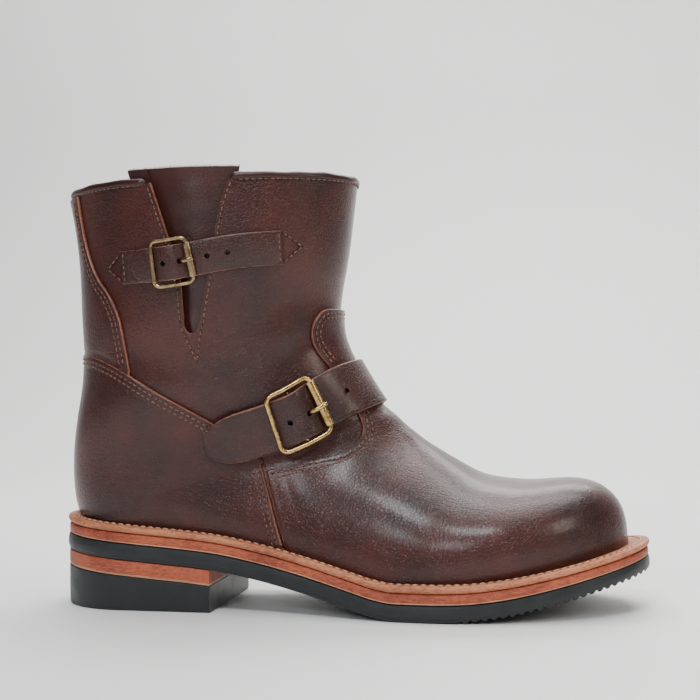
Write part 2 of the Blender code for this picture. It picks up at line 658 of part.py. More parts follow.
def loft(name, loops, look, closed_ends=True):
    """Loops of equal count joined one to the next, with flat ends."""
    n = len(loops[0])
    points = np.concatenate([np.array(loop, float) for loop in loops])
    faces = []
    for i in range(len(loops) - 1):
        for j in range(n):
            a, b = i * n + j, i * n + (j + 1) % n
            faces.append((a, b, b + n, a + n))
    if closed_ends:
        half = n // 2
        last = (len(loops) - 1) * n
        for j in range(half - 1):
            faces.append((j, j + 1, n - 2 - j, n - 1 - j))
            faces.append((last + j, last + j + 1, last + n - 2 - j, last + n - 1 - j))
    return add_mesh(name, points, triangles(faces), look)


def ribbon(line, thickness):
    """Both faces of a strip of leather whose middle follows a flat line."""
    line = np.array(line, float)
    run = np.gradient(line, axis=0)
    run /= np.linalg.norm(run, axis=1, keepdims=True)
    out = np.stack([-run[:, 1], run[:, 0]], axis=1) * thickness / 2
    return np.concatenate([line + out, (line - out)[::-1]])


def build_gusset():
    """A bellows of thin leather: from inside the front edge of the slot it
    crosses the slot, folds behind the back edge and returns to that edge."""
    collar_z = float(skin(0.0, -0.6)[2])
    levels = [0.02, 0.10, 0.22, 0.38, 0.56, 0.74, 0.92]
    front = np.array([side_point(x, h) for x, h in SLOT_FRONT])
    back = np.array([side_point(x, h) for x, h in SLOT_BACK])
    foot = min(front[-1][1], back[-1][1]) - 0.008
    heights = [foot + (collar_z - foot) * k for k in levels] + [collar_z + GUSSET_STAND * 0.5, collar_z + GUSSET_STAND]
    flush = -(WALL + CLEAR + GUSSET / 2)
    inside_binding = -(WALL / 2 + BINDING / 2 + LIFT + GUSSET / 2)
    loops = []
    for z in heights:
        first = flush + min(inside_binding - flush, 0.0) * smoothstep((z - collar_z + 0.020) / 0.014)
        second = first - GUSSET - GAP
        ahead = float(np.interp(z, front[::-1, 1], front[::-1, 0]))
        behind = float(np.interp(z, back[::-1, 1], back[::-1, 0]))
        wide = max(ahead - behind, 0.0)
        reach = 0.006 + 0.006 * smoothstep((z - foot) / (collar_z - foot))
        bulge = min(0.0015, 0.05 * wide)
        radius = (first - second) / 2
        line = [(ahead + 0.006, first), (ahead + 0.001, first)]
        line += [(ahead - wide * 0.35, first + bulge), (ahead - wide * 0.65, first + bulge * 0.6)]
        line += [(behind + min(0.0015, wide * 0.2), (first + second) / 2 - 0.0002), (behind - 0.003, second), (behind - reach, second)]
        for angle in (45, 90, 135):
            a = math.radians(angle)
            line.append((behind - reach - radius * math.sin(a), second + radius * (1 - math.cos(a))))
        line += [(behind - reach, first), (behind - 0.0015, first)]
        loops.append([on_side(x, z, depth) for x, depth in ribbon(line, GUSSET)])
    return loft("gusset", loops, LEATHER)


gusset = build_gusset()


def tube(name, points, diameter, look, cyclic=False, sides=2, factors=None, collection=parts):
    """A round cord or rod along points, as a mesh."""
    curve = bpy.data.curves.new(name, "CURVE")
    curve.dimensions = "3D"
    curve.bevel_depth = diameter / 2
    curve.bevel_resolution = sides
    curve.use_fill_caps = True
    line = curve.splines.new("POLY")
    line.points.add(len(points) - 1)
    for k, (point, target) in enumerate(zip(line.points, points)):
        point.co = (*map(float, target), 1.0)
        point.radius = factors[k] if factors else 1.0
    line.use_cyclic_u = cyclic
    holder = bpy.data.objects.new(name + "_line", curve)
    scene.collection.objects.link(holder)
    bpy.context.view_layer.update()
    graph = bpy.context.evaluated_depsgraph_get()
    mesh = bpy.data.meshes.new_from_object(holder.evaluated_get(graph))
    mesh.name = name
    bpy.data.objects.remove(holder, do_unlink=True)
    work = bmesh.new()
    work.from_mesh(mesh)
    bmesh.ops.remove_doubles(work, verts=work.verts, dist=1e-6)
    bmesh.ops.recalc_face_normals(work, faces=work.faces)
    work.to_mesh(mesh)
    work.free()
    mesh.materials.clear()
    if look:
        mesh.materials.append(material(name, *look))
    mesh.shade_smooth()
    mesh.set_sharp_from_angle(angle=math.radians(50))
    made = bpy.data.objects.new(name, mesh)
    collection.objects.link(made)
    return made


def build_binding():
    """The rolled edge of the collar, from one edge of the slot round to the other."""
    z = float(skin(0.0, -0.6)[2])
    ahead = locate(np.interp(z, *np.array([side_point(x, h)[::-1] for x, h in SLOT_FRONT[::-1]]).T), z)[1]
    behind = locate(np.interp(z, *np.array([side_point(x, h)[::-1] for x, h in SLOT_BACK[::-1]]).T), z)[1]
    first = np.linspace(-ahead + 0.012, 1.0, 40)
    second = np.linspace(-1.0, -behind - 0.012, 10)[1:]
    t = np.concatenate([first, second])
    line = skin(np.zeros(len(t)), t) - skin_normal(np.zeros(len(t)), t) * WALL / 2
    line[:, 2] += GAP + BINDING / 2
    return tube("collar_binding", line, BINDING, LEATHER)


binding = build_binding()


# The sole follows the feather line, with a margin that grows at heel and toe
def feather_loop(count=260):
    share = (1 - np.cos(np.linspace(0, math.pi, count))) / 2
    x = UPPER_BACK + share * UPPER_LENGTH
    out = np.stack([x, centre(x) - feather(share, False)], axis=1)
    back = np.stack([x, centre(x) + feather(share, True)], axis=1)[::-1][1:-1]
    return np.concatenate([out, back]), np.concatenate([share, share[::-1][1:-1]]), count


def edge(margin, extra):
    """Both sides of the sole's outline: the feather line moved out, as runs of x and y."""
    loop, share, count = feather_loop()
    along = np.roll(loop, -1, axis=0) - np.roll(loop, 1, axis=0)
    along /= np.linalg.norm(along, axis=1, keepdims=True)
    out = np.stack([along[:, 1], -along[:, 0]], axis=1)
    wide = extra
    if margin:
        wide = wide + SIDE_MARGIN + (HEEL_MARGIN - SIDE_MARGIN) * (1 - smoothstep(share / 0.12))
        wide = wide + (TOE_MARGIN - SIDE_MARGIN) * smoothstep((share - 0.78) / 0.22)
    moved = loop + out * np.broadcast_to(wide, share.shape)[:, None]
    lateral_run = moved[:count]
    medial_run = np.concatenate([moved[:1], moved[count - 1 :][::-1]])
    return [np.stack([np.maximum.accumulate(run[:, 0]), run[:, 1]], axis=1) for run in (lateral_run, medial_run)]


def stations(low, high, stop=None):
    """Places along the sole, close together at its round ends."""
    ends = (1 - np.cos(np.linspace(0, math.pi / 2, 9))) * 0.13
    body = [0.16, 0.20, 0.24, 0.27, 0.30, 0.33, 0.36, 0.385, 0.41, 0.435, 0.46, 0.485, 0.51, 0.535, 0.56, 0.58, 0.60, 0.63, 0.66]
    body += [0.69, 0.715, 0.74, 0.765, 0.79, 0.815, 0.84]
    share = np.concatenate([ends, body, 1 - ends[::-1]])
    x = SOLE_BACK + share * SOLE_LENGTH
    tip = SOLE_BACK + SOLE_LENGTH
    left, right = x[8], x[-9]
    x = np.where(x < left, low + (x - SOLE_BACK) * (left - low) / (left - SOLE_BACK), x)
    x = np.where(x > right, high - (tip - x) * (high - right) / (tip - right), x)
    if stop is not None:
        x = np.append(x[x < stop - 0.002], stop)
    return x


def level(margin, extra, height, stop=None):
    """One closed loop of the sole's side at a given height, and its stations."""
    sides = edge(margin, extra)
    x = stations(sides[0][0, 0], sides[0][-1, 0], stop)
    last = len(x) if stop is not None else len(x) - 1
    outer = [(v, np.interp(v, *sides[0].T), height(v)) for v in x[1:last]]
    inner = [(v, np.interp(v, *sides[1].T), height(v)) for v in x[1:last]]
    start = [(x[0], float(sides[0][0, 1]), height(x[0]))]
    end = [] if stop is not None else [(x[-1], float(sides[0][-1, 1]), height(x[-1]))]
    return start + outer + end + inner[::-1], len(outer), stop is not None


def plate(name, levels, look, ring=False):
    loops = [np.array(item[0], float) for item in levels]
    outer, cut_off = levels[0][1], levels[0][2]
    n = len(loops[0])
    points = np.concatenate(loops)
    faces = []
    spans = len(loops) if ring else len(loops) - 1
    for i in range(spans):
        for j in range(n):
            a, b = i * n + j, i * n + (j + 1) % n
            c, d = ((i + 1) % len(loops)) * n + (j + 1) % n, ((i + 1) % len(loops)) * n + j
            faces.append((a, b, c, d))
    if not ring:
        for base in (0, (len(loops) - 1) * n):
            faces.append((base, base + 1, base + n - 1))
            for j in range(1, outer):
                faces.append((base + j, base + j + 1, base + n - 1 - j, base + n - j))
            if not cut_off:
                faces.append((base + outer, base + outer + 1, base + outer + 2))
    return add_mesh(name, points, triangles(faces), look)


def under(*layers):
    """Height of the face that lies under these layers of the sole."""
    total = sum(layers)
    return lambda x: welt_top(x) - total * thinning(x)


midsole_top = under(WELT, GAP)
outsole_top = under(WELT, GAP, MIDSOLE, GAP)
outsole_bottom = under(STACK)


def lift_top(x):
    return outsole_bottom(x) - GAP


def lift_bottom(x):
    return outsole_bottom(x) - GAP - HEEL_LIFT


welt = plate(
    "welt",
    [
        level(True, -0.0012, welt_top),
        level(True, -0.0003, lambda x: welt_top(x) - WELT * 0.18 * thinning(x)),
        level(True, -0.0001, lambda x: welt_top(x) - WELT * 0.60 * thinning(x)),
        level(True, -0.0013, under(WELT)),
        level(False, -WALL - 0.0005, under(WELT)),
        level(False, -WALL - 0.0005, welt_top),
    ],
    ((0.62, 0.36, 0.21), 0.55),
    ring=True,
)
midsole = plate(
    "midsole",
    [level(True, -0.0006, midsole_top), level(True, 0.0, lambda x: midsole_top(x) - MIDSOLE * 0.3 * thinning(x)), level(True, 0.0, under(WELT, GAP, MIDSOLE))],
    ((0.50, 0.13, 0.06), 0.60),
)
outsole = plate(
    "outsole",
    [
        level(True, 0.0, outsole_top),
        level(True, 0.0006, lambda x: outsole_top(x) - OUTSOLE * 0.75 * thinning(x)),
        level(True, -0.0002, outsole_bottom),
    ],
    RUBBER,
)
heel_lift = plate("heel_lift", [level(True, 0.0, lift_top, BREAST), level(True, 0.0, lift_bottom, BREAST)], ((0.50, 0.14, 0.07), 0.60))
heel = plate(
    "heel",
    [
        level(True, 0.0, lambda x: lift_bottom(x) - GAP, BREAST),
        level(True, 0.0, lambda x: 0.0012, BREAST),
        level(True, -0.0006, lambda x: 0.0, BREAST),
    ],
    RUBBER,
)
insole = plate(
    "insole",
    [level(False, -WALL - CLEAR - 0.0006, lambda x: welt_top(x) + INSOLE_ABOVE), level(False, -WALL - CLEAR - 0.0006, under(WELT))],
    ((0.36, 0.24, 0.14), 0.70),
)


class Course:
    """A strap's way over the upper. u runs along it, v across it and h out from the face."""

    def __init__(self, line, over_front=False):
        marks = [(s, -t) for s, t in located(line)]
        if over_front:
            top = [(s, -t) for s, t in reversed(marks)]
            s0 = marks[-1][0] - 0.16
            marks = marks + [(s0, 0.0)] + top
        marks = np.array(marks)
        places = skin(marks[:, 0], marks[:, 1])
        length = np.concatenate([[0], np.cumsum(np.linalg.norm(np.diff(places, axis=0), axis=1))])
        s_of, t_of = Smooth(length, marks[:, 0]), Smooth(length, marks[:, 1])
        fine = np.linspace(0, length[-1], 400)
        walk = skin(s_of(fine), t_of(fine))
        self.run = np.concatenate([[0], np.cumsum(np.linalg.norm(np.diff(walk, axis=0), axis=1))])
        self.s = s_of(fine)
        self.t = t_of(fine)
        self.length = float(self.run[-1])

    def at(self, u, v, h):
        s = float(np.interp(u, self.run, self.s))
        t = float(np.interp(u, self.run, self.t))
        before, after = max(u - 0.002, 0.0), min(u + 0.002, self.length)
        p = skin(np.interp([before, after], self.run, self.s), np.interp([before, after], self.run, self.t))
        along = p[1] - p[0]
        along /= np.linalg.norm(along)
        normal = skin_normal(s, t)
        across = np.cross(normal, along)
        across /= np.linalg.norm(across)
        ds = (skin(s + 0.01, t) - skin(s - 0.01, t)) / 0.02
        dt = (skin(s, t + 0.005) - skin(s, t - 0.005)) / 0.01
        step = np.linalg.lstsq(np.stack([ds, dt], axis=1), across, rcond=None)[0]
        at = s + step[0] * v, t + step[1] * v
        past = u - min(max(u, 0.0), self.length)
        return skin(*at) + skin_normal(*at) * h + along * past

    def nearest(self, x, z):
        places = skin(self.s, self.t)
        outer = places[:, 1] < float(centre(x))
        gap = np.hypot(places[:, 0] - x, places[:, 2] - z) + np.where(outer, 0, 1)
        return float(self.run[int(np.argmin(gap))])


def band(name, course, line, width, thickness, look, cells=4):
    """A flat strap along a line of (u, h), width given for each point."""
    line = np.array(line, float)
    run = np.gradient(line, axis=0)
    run /= np.maximum(np.linalg.norm(run, axis=1, keepdims=True), 1e-9)
    out = np.stack([-run[:, 1], run[:, 0]], axis=1) * thickness / 2
    across = np.linspace(-0.5, 0.5, cells)
    loops = []
    for (u, h), (du, dh), w in zip(line, out, width):
        top = [course.at(u + du, v * w, h + dh) for v in across]
        low = [course.at(u - du, v * w, h - dh) for v in across[::-1]]
        loops.append(top + low)
    return loft(name, loops, look)


def crown(course, u, h, half):
    """How far the face rises above a straight bar from one edge of a buckle to the other."""
    a, b = course.at(u, -half, h), course.at(u, half, h)
    out = course.at(u, 0.0, h + GAP) - course.at(u, 0.0, h)
    out /= np.linalg.norm(out)
    rises = [float((course.at(u, half * k, h) - (a + b) / 2 - (b - a) * k / 2) @ out) for k in np.linspace(-0.9, 0.9, 13)]
    return max(0.0, *rises)


def bar_ends(course, u, h, half):
    h = h + crown(course, u, h, half)
    return course.at(u, -half, h), course.at(u, half, h)


def frame(name, course, middle, long, high, rod, bar, heights, look):
    """A buckle's rounded frame with its centre bar. heights: back, middle, front."""
    corner = rod * 1.3
    back, mid, ahead = heights
    half_u, half_v = long / 2, high / 2

    def height(u):
        k = u / half_u
        return back * (1 - k) / 2 + ahead * (1 + k) / 2

    flat = []
    for cu, cv, start in ((1, 1, 0), (-1, 1, 90), (-1, -1, 180), (1, -1, 270)):
        for step in range(4):
            a = math.radians(start + step * 30)
            flat.append((cu * (half_u - corner) + corner * math.cos(a), cv * (half_v - corner) + corner * math.sin(a)))
        if start in (0, 180):
            far = -cu * (half_u - corner)
            near = cu * (half_u - corner)
            for k in (0.25, 0.5, 0.75):
                flat.append((near + (far - near) * k, cv * half_v))
    points, factors = [], []
    for u, v in flat:
        a, b = bar_ends(course, middle + u, height(u), half_v)
        points.append(a + (b - a) * (v + half_v) / high)
        factors.append(bar / rod if u > half_u - 1e-6 and abs(v) < half_v - corner + 1e-6 else 1.0)
    made = tube(name, points, rod, look, cyclic=True, factors=factors)
    a, b = bar_ends(course, middle, height(0.0), half_v)
    span = (b - a) / np.linalg.norm(b - a)
    low_v = half_v - BAR_STEP
    ends = [a + span * 0.0002] + [course.at(middle, v, mid) for v in np.linspace(-low_v, low_v, 5)] + [b - span * 0.0002]
    centre_bar = as_cutter(tube(name + "_bar", ends, bar, None, collection=cutters))
    cut(made, centre_bar, "UNION")
    return made


def ring_along(name, a, b, outer, inner, look):
    """A hollow roller between two points, turned from its wall's section."""
    a, b = Vector(a), Vector(b)
    long = (b - a).length
    mesh = bpy.data.meshes.new(name)
    work = bmesh.new()
    wall = [(outer, 0, long), (outer, 0, 0), (inner, 0, 0), (inner, 0, long)]
    made = [work.verts.new(p) for p in wall]
    for k in range(4):
        work.edges.new((made[k], made[(k + 1) % 4]))
    work.to_mesh(mesh)
    work.free()
    mesh.materials.append(material(name, *look))
    item = bpy.data.objects.new(name, mesh)
    parts.objects.link(item)
    screw = item.modifiers.new("turn", "SCREW")
    screw.angle = math.tau
    screw.steps = screw.render_steps = 16
    screw.use_merge_vertices = True
    screw.merge_threshold = 1e-5
    screw.use_smooth_shade = True
    item.matrix_world = Matrix.Translation(a) @ (b - a).to_track_quat("Z", "Y").to_matrix().to_4x4()
    return item


def cylinder_between(name, a, b, radius):
    a, b = Vector(a), Vector(b)
    mesh = bpy.data.meshes.new(name)
    work = bmesh.new()
    bmesh.ops.create_cone(work, cap_ends=True, segments=14, radius1=radius, radius2=radius, depth=(b - a).length)
    work.to_mesh(mesh)
    work.free()
    item = bpy.data.objects.new(name, mesh)
    cutters.objects.link(item)
    item.matrix_world = Matrix.Translation((a + b) / 2) @ (b - a).to_track_quat("Z", "Y").to_matrix().to_4x4()
    return as_cutter(item)


def tail_widths(distances, width, point):
    """Width of a strap near its rounded tail."""
    k = np.clip(np.array(distances) / point, 0, 1)
    return width * np.sqrt(np.clip(1 - (1 - k) ** 2.2, 0.03, 1))


def buckled(prefix, course, middle, sizes, chape_from, strap_ends, base, under_tail, look, hole_places):
    """Strap, chape, buckle, roller and prong of one fastening.

    The strap comes from the front, runs under the roller, over the centre bar
    and under the back bar, and its tail lies on the chape that holds the bar.
    base: strap's underside in front; under_tail: chape's underside."""
    width, leather, long, high, rod, roller, prong, point = sizes
    half = long / 2
    bar = rod * 0.84
    roller_bore = bar / 2 + 0.00025
    chape_top = under_tail + CHAPE
    back_h = chape_top + GAP + leather + GAP + rod / 2
    ahead_h = base + leather + 2 * GAP + roller / 2
    mid_h = under_tail + CHAPE + 2 * GAP + bar / 2
    crest = mid_h + bar / 2 + 2 * GAP + leather / 2
    ahead_mid = base + leather / 2
    tail_mid = chape_top + GAP + leather / 2
    start, stop = strap_ends
    marks = [
        (start, tail_mid),
        (middle - half * 1.9, tail_mid),
        (middle - half, tail_mid),
        (middle - half * 0.55, (tail_mid + crest) / 2 + 0.0002),
        (middle - half * 0.16, crest),
        (middle + half * 0.16, crest),
        (middle + half * 0.58, (ahead_mid + crest) / 2),
        (middle + half, ahead_mid),
        (middle + half * 1.7, ahead_mid),
        (stop, ahead_mid),
    ]
    marks = np.array(marks)
    height = Steady(marks[:, 0], marks[:, 1])
    near = np.linspace(middle - half * 1.5, middle + half * 1.5, 19)
    tail = start + (near[0] - start) * np.array([0, 0.03, 0.09, 0.18, 0.3, 0.48, 0.72])
    rest = near[-1] + (stop - near[-1]) * np.linspace(0, 1, max(3, int((stop - near[-1]) / 0.006) + 2))[1:]
    u = np.concatenate([tail, near, rest])
    line = np.stack([u, height(u)], axis=1)
    strap = band(prefix + "_strap", course, line, tail_widths(u - start + 0.0004, width, point), leather, look[0])
    turn = bar / 2 + GAP + CHAPE / 2
    lay = under_tail + CHAPE / 2
    chape_line = [(chape_from + (middle - chape_from) * k, lay) for k in (0, 0.25, 0.5, 0.75)] + [(middle - 0.0015, mid_h - turn)]
    for angle in (-75, -50, -25, 0):
        a = math.radians(angle)
        chape_line.append((middle + turn * math.cos(a), mid_h + turn * math.sin(a)))
    chape_wide = [width * 0.98] * len(chape_line)
    chape = band(prefix + "_chape", course, chape_line, chape_wide, CHAPE, look[0])
    buckle = frame(prefix + "_buckle", course, middle, long, high, rod, bar, (back_h, mid_h, ahead_h), look[1])
    a, b = bar_ends(course, middle + half, ahead_h, high / 2)
    inset = rod * 1.35 / high
    made_roller = ring_along(prefix + "_roller", a + (b - a) * inset, b - (b - a) * inset, roller / 2, roller_bore, look[1])
    over = ahead_h + crown(course, middle + half, ahead_h, high / 2) + roller / 2 + GAP + prong / 2 + 0.0002
    begin = (middle + bar / 2 + GAP + prong / 2, mid_h)
    finish = (middle + half - roller * 0.5, over)
    beyond = (middle + half + roller * 0.75, over)
    prong_line = [begin, ((begin[0] + finish[0]) / 2, (begin[1] + finish[1]) / 2), finish, beyond]
    made_prong = tube(prefix + "_prong", [course.at(u, 0.0, h) for u, h in prong_line], prong, look[1], sides=2)
    slope = (finish[1] - begin[1]) / (finish[0] - begin[0])
    low = (begin[0] - 0.0010, begin[1] - 0.0010 * slope)
    top = (begin[0] + (finish[0] - begin[0]) * 0.80, begin[1] + (finish[1] - begin[1]) * 0.80)
    way = cylinder_between(prefix + "_prong_way", course.at(low[0], 0, low[1]), course.at(top[0], 0, top[1]), prong / 2 + 0.0005)
    cut(strap, way)
    clear = cylinder_between(
        prefix + "_chape_way", course.at(middle + 0.0002, 0, mid_h), course.at(begin[0] + 0.004, 0, mid_h + 0.004 * slope), prong / 2 + 0.0007
    )
    cut(chape, clear)
    for k, place in enumerate(hole_places):
        h = float(height(middle + place))
        reach = leather / 2 + 0.0009
        hole = cylinder_between(
            f"{prefix}_hole_{k + 1}", course.at(middle + place, 0, h - reach), course.at(middle + place, 0, h + reach), HOLE / 2
        )
        cut(strap, hole)
    return strap, chape, buckle, made_roller, made_prong


over_instep = Course(STRAP_LINE, over_front=True)
instep_middle = over_instep.nearest(*side_point(0.428, 0.572))
over_panels = LIFT + COUNTER + GAP
buckled(
    "instep",
    over_instep,
    instep_middle,
    (STRAP_WIDTH, STRAP, BUCKLE_LONG, BUCKLE_HIGH, BUCKLE_ROD, BUCKLE_ROLLER, PRONG, 0.013),
    over_instep.nearest(*side_point(0.330, 0.440)),
    (0.0, over_instep.length - 0.006),
    over_panels,
    over_panels,
    (LEATHER, BRASS),
    (-BUCKLE_LONG * 0.10 - 0.0020, BUCKLE_LONG * 1.15),
)

on_shaft = Course(SHAFT_STRAP_LINE)
buckled(
    "shaft",
    on_shaft,
    on_shaft.nearest(*side_point(0.227, 1.222)),
    (SHAFT_STRAP_WIDTH, SHAFT_STRAP, SHAFT_BUCKLE_LONG, SHAFT_BUCKLE_HIGH, SHAFT_BUCKLE_ROD, SHAFT_BUCKLE_ROLLER, PRONG * 0.9, 0.008),
    on_shaft.nearest(*side_point(0.134, 1.170)),
    (0.0, on_shaft.length),
    GAP + 0.0001,
    GAP + 0.0001,
    (LEATHER, OLD_BRASS),
    (-SHAFT_BUCKLE_LONG * 0.10 - 0.0018, SHAFT_BUCKLE_LONG * 0.95, SHAFT_BUCKLE_LONG * 1.5),
)

root = bpy.data.objects.new("engineer_boot_root", None)
parts.objects.link(root)
for item in list(parts.objects):
    if item is not root and item.parent is None:
        item.parent = root
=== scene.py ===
import math

import bmesh
import bpy
import numpy as np
from mathutils import Matrix, Vector, geometry


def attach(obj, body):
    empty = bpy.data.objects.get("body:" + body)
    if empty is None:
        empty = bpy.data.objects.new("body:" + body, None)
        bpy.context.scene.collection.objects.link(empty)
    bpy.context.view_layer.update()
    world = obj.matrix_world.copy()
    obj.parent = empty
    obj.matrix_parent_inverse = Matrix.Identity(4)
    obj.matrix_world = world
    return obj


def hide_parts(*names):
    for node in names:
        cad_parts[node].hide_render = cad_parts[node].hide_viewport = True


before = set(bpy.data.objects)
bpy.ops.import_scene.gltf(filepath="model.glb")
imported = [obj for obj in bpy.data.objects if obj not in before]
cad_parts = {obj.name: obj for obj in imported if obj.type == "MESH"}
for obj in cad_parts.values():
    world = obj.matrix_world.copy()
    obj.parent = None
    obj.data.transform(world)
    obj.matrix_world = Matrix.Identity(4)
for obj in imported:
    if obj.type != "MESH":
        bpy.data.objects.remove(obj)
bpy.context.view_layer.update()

# Engineer boot for the right foot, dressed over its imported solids.
# X runs from the heel to the toe, Z up, and the outer (lateral) side faces -Y.
# All lengths are in metres. s counts the sections of the last from the collar
# down the shaft, round the heel and forward to the toe. t runs round a section,
# from -1 at the outer low end over 0 in front to 1 at the inner low end.

# Sizes of the upper
UPPER_LENGTH = 0.2822
BALL_WIDTH = 0.097
HEEL_WIDTH = 0.0648
ANKLE_WIDTH = 0.083
SHAFT_WIDTH = 0.102
INSTEP_RISE = 0.117
SHAFT_RISE = 0.077
TOE_SWING = 0.005
WALL = 0.0022
PANEL = 0.0015
COUNTER = 0.0020
LIFT = 0.0006
SEAM = 0.0005
BINDING = 0.0042
GUSSET = 0.0014
GUSSET_STAND = 0.0072

# Sizes of the sole
HEEL_MARGIN = 0.0083
SIDE_MARGIN = 0.0078
TOE_MARGIN = 0.0120
HEEL_RISE = 0.0291
TOE_SPRING = 0.0170
HEEL_LENGTH = 0.0865
WELT = 0.0036
MIDSOLE = 0.0049
OUTSOLE = 0.0083
HEEL_LIFT = 0.0076
INSOLE_ABOVE = 0.0030
GAP = 0.0003
STAND = 0.0006
CLEAR = 0.0009

# Sizes of the straps and buckles
STRAP_WIDTH = 0.0275
STRAP = 0.0022
CHAPE = 0.0012
BUCKLE_LONG = 0.0235
BUCKLE_HIGH = 0.0335
BUCKLE_ROD = 0.0024
BUCKLE_ROLLER = 0.0032
PRONG = 0.0018
BAR_STEP = 0.0016
SHAFT_STRAP_WIDTH = 0.0170
SHAFT_STRAP = 0.0019
SHAFT_BUCKLE_LONG = 0.0186
SHAFT_BUCKLE_HIGH = 0.0225
SHAFT_BUCKLE_ROD = 0.0020
SHAFT_BUCKLE_ROLLER = 0.0027
HOLE = 0.0026

SOLE_BACK = -HEEL_LENGTH / 2
BREAST = HEEL_LENGTH / 2
UPPER_BACK = SOLE_BACK + HEEL_MARGIN
SOLE_LENGTH = UPPER_LENGTH + HEEL_MARGIN + TOE_MARGIN
STACK = WELT + MIDSOLE + OUTSOLE + 2 * GAP

# share of the sole's length, share of HEEL_RISE, share of TOE_SPRING
BOTTOM_LINE = [
    (0.000, 1.000, 0.00), (0.143, 0.869, 0.00), (0.286, 0.735, 0.00), (0.361, 0.598, 0.00),
    (0.443, 0.399, 0.00), (0.527, 0.158, 0.00), (0.570, 0.040, 0.00), (0.600, 0.000, 0.00),
    (0.660, 0.000, 0.00), (0.700, 0.000, 0.02), (0.766, 0.000, 0.13), (0.843, 0.000, 0.36),
    (0.918, 0.000, 0.65), (1.000, 0.000, 1.00),
]

# share of the upper's length, then half widths as shares of BALL_WIDTH
FEATHER = [
    (0.00, 0.309, 0.309), (0.11, 0.309, 0.304), (0.20, 0.320, 0.304), (0.30, 0.332, 0.302),
    (0.40, 0.358, 0.304), (0.50, 0.402, 0.334), (0.58, 0.448, 0.376), (0.66, 0.484, 0.440),
    (0.73, 0.498, 0.484), (0.80, 0.490, 0.499), (0.88, 0.466, 0.494), (1.00, 0.425, 0.475),
]
HEEL_ROUND = 0.110
TOE_ROUND = 0.260

# front x and height, low x and height, lateral, medial, widest, fullness, squareness, low fullness, ridge
SECTIONS = [
    (0.526, 1.999, -0.017, 1.640, 0.500 * SHAFT_WIDTH, 0.500 * SHAFT_WIDTH, 0.52, 2.10, 2.00, 2.10, 0.000),
    (0.518, 1.761, -0.007, 1.455, 0.487 * SHAFT_WIDTH, 0.487 * SHAFT_WIDTH, 0.52, 2.10, 2.00, 2.10, 0.000),
    (0.507, 1.464, 0.002, 1.199, 0.468 * SHAFT_WIDTH, 0.468 * SHAFT_WIDTH, 0.53, 2.10, 2.00, 2.15, 0.000),
    (0.493, 1.190, 0.005, 0.943, 0.548 * ANKLE_WIDTH, 0.548 * ANKLE_WIDTH, 0.53, 2.10, 2.00, 2.20, 0.010),
    (0.491, 1.006, 0.008, 0.773, 0.522 * ANKLE_WIDTH, 0.522 * ANKLE_WIDTH, 0.54, 2.15, 2.00, 2.30, 0.020),
    (0.504, 0.892, 0.008, 0.602, 0.496 * ANKLE_WIDTH, 0.496 * ANKLE_WIDTH, 0.55, 2.20, 2.00, 2.40, 0.030),
    (0.528, 0.788, -0.004, 0.420, 0.470 * ANKLE_WIDTH, 0.470 * ANKLE_WIDTH, 0.56, 2.35, 2.00, 2.80, 0.042),
    (0.559, 0.696, -0.013, 0.221, 0.538 * HEEL_WIDTH, 0.538 * HEEL_WIDTH, 0.57, 2.45, 2.00, 3.20, 0.052),
    (0.582, 0.658, -0.009, 0.069, 0.517 * HEEL_WIDTH, 0.517 * HEEL_WIDTH, 0.58, 2.50, 2.00, 3.60, 0.058),
    (0.599, 0.626, 0.000, 0.000, 0.511 * HEEL_WIDTH, 0.511 * HEEL_WIDTH, 0.585, 2.50, 2.00, 3.80, 0.060),
    (0.620, 0.586, 0.046, 0.000, 0.511 * HEEL_WIDTH, 0.509 * HEEL_WIDTH, 0.585, 2.50, 2.00, 3.80, 0.062),
    (0.642, 0.545, 0.160, 0.000, 0.515 * HEEL_WIDTH, 0.505 * HEEL_WIDTH, 0.585, 2.45, 2.00, 3.50, 0.062),
    (0.668, 0.506, 0.300, 0.000, 0.362 * BALL_WIDTH, 0.330 * BALL_WIDTH, 0.60, 2.40, 2.00, 2.90, 0.060),
    (0.698, 0.462, 0.460, 0.000, 0.415 * BALL_WIDTH, 0.352 * BALL_WIDTH, 0.66, 2.35, 2.00, 2.50, 0.056),
    (0.737, 0.402, 0.600, 0.000, 0.474 * BALL_WIDTH, 0.432 * BALL_WIDTH, 0.72, 2.30, 2.00, 2.30, 0.046),
    (0.786, 0.362, 0.715, 0.000, 0.505 * BALL_WIDTH, 0.500 * BALL_WIDTH, 0.77, 2.30, 2.05, 2.40, 0.030),
    (0.845, 0.332, 0.825, 0.000, 0.505 * BALL_WIDTH, 0.500 * BALL_WIDTH, 0.81, 2.40, 2.15, 2.20, 0.015),
    (0.900, 0.315, 0.905, 0.000, 0.505 * BALL_WIDTH, 0.500 * BALL_WIDTH, 0.80, 2.45, 2.20, 2.10, 0.005),
    (0.948, 0.272, 0.960, 0.000, 0.505 * BALL_WIDTH, 0.500 * BALL_WIDTH, 0.76, 2.40, 2.20, 2.10, 0.000),
    (0.981, 0.195, 0.988, 0.000, 0.505 * BALL_WIDTH, 0.500 * BALL_WIDTH, 0.70, 2.30, 2.15, 2.10, 0.000),
    (0.996, 0.105, 0.998, 0.000, 0.505 * BALL_WIDTH, 0.500 * BALL_WIDTH, 0.62, 2.20, 2.10, 2.00, 0.000),
    (1.000, 0.000, 1.000, 0.000, 0.505 * BALL_WIDTH, 0.500 * BALL_WIDTH, 0.55, 2.10, 2.00, 2.00, 0.000),
]
SEAT = 9
TIP = len(SECTIONS) - 1
TOE_BULGE = 1.03

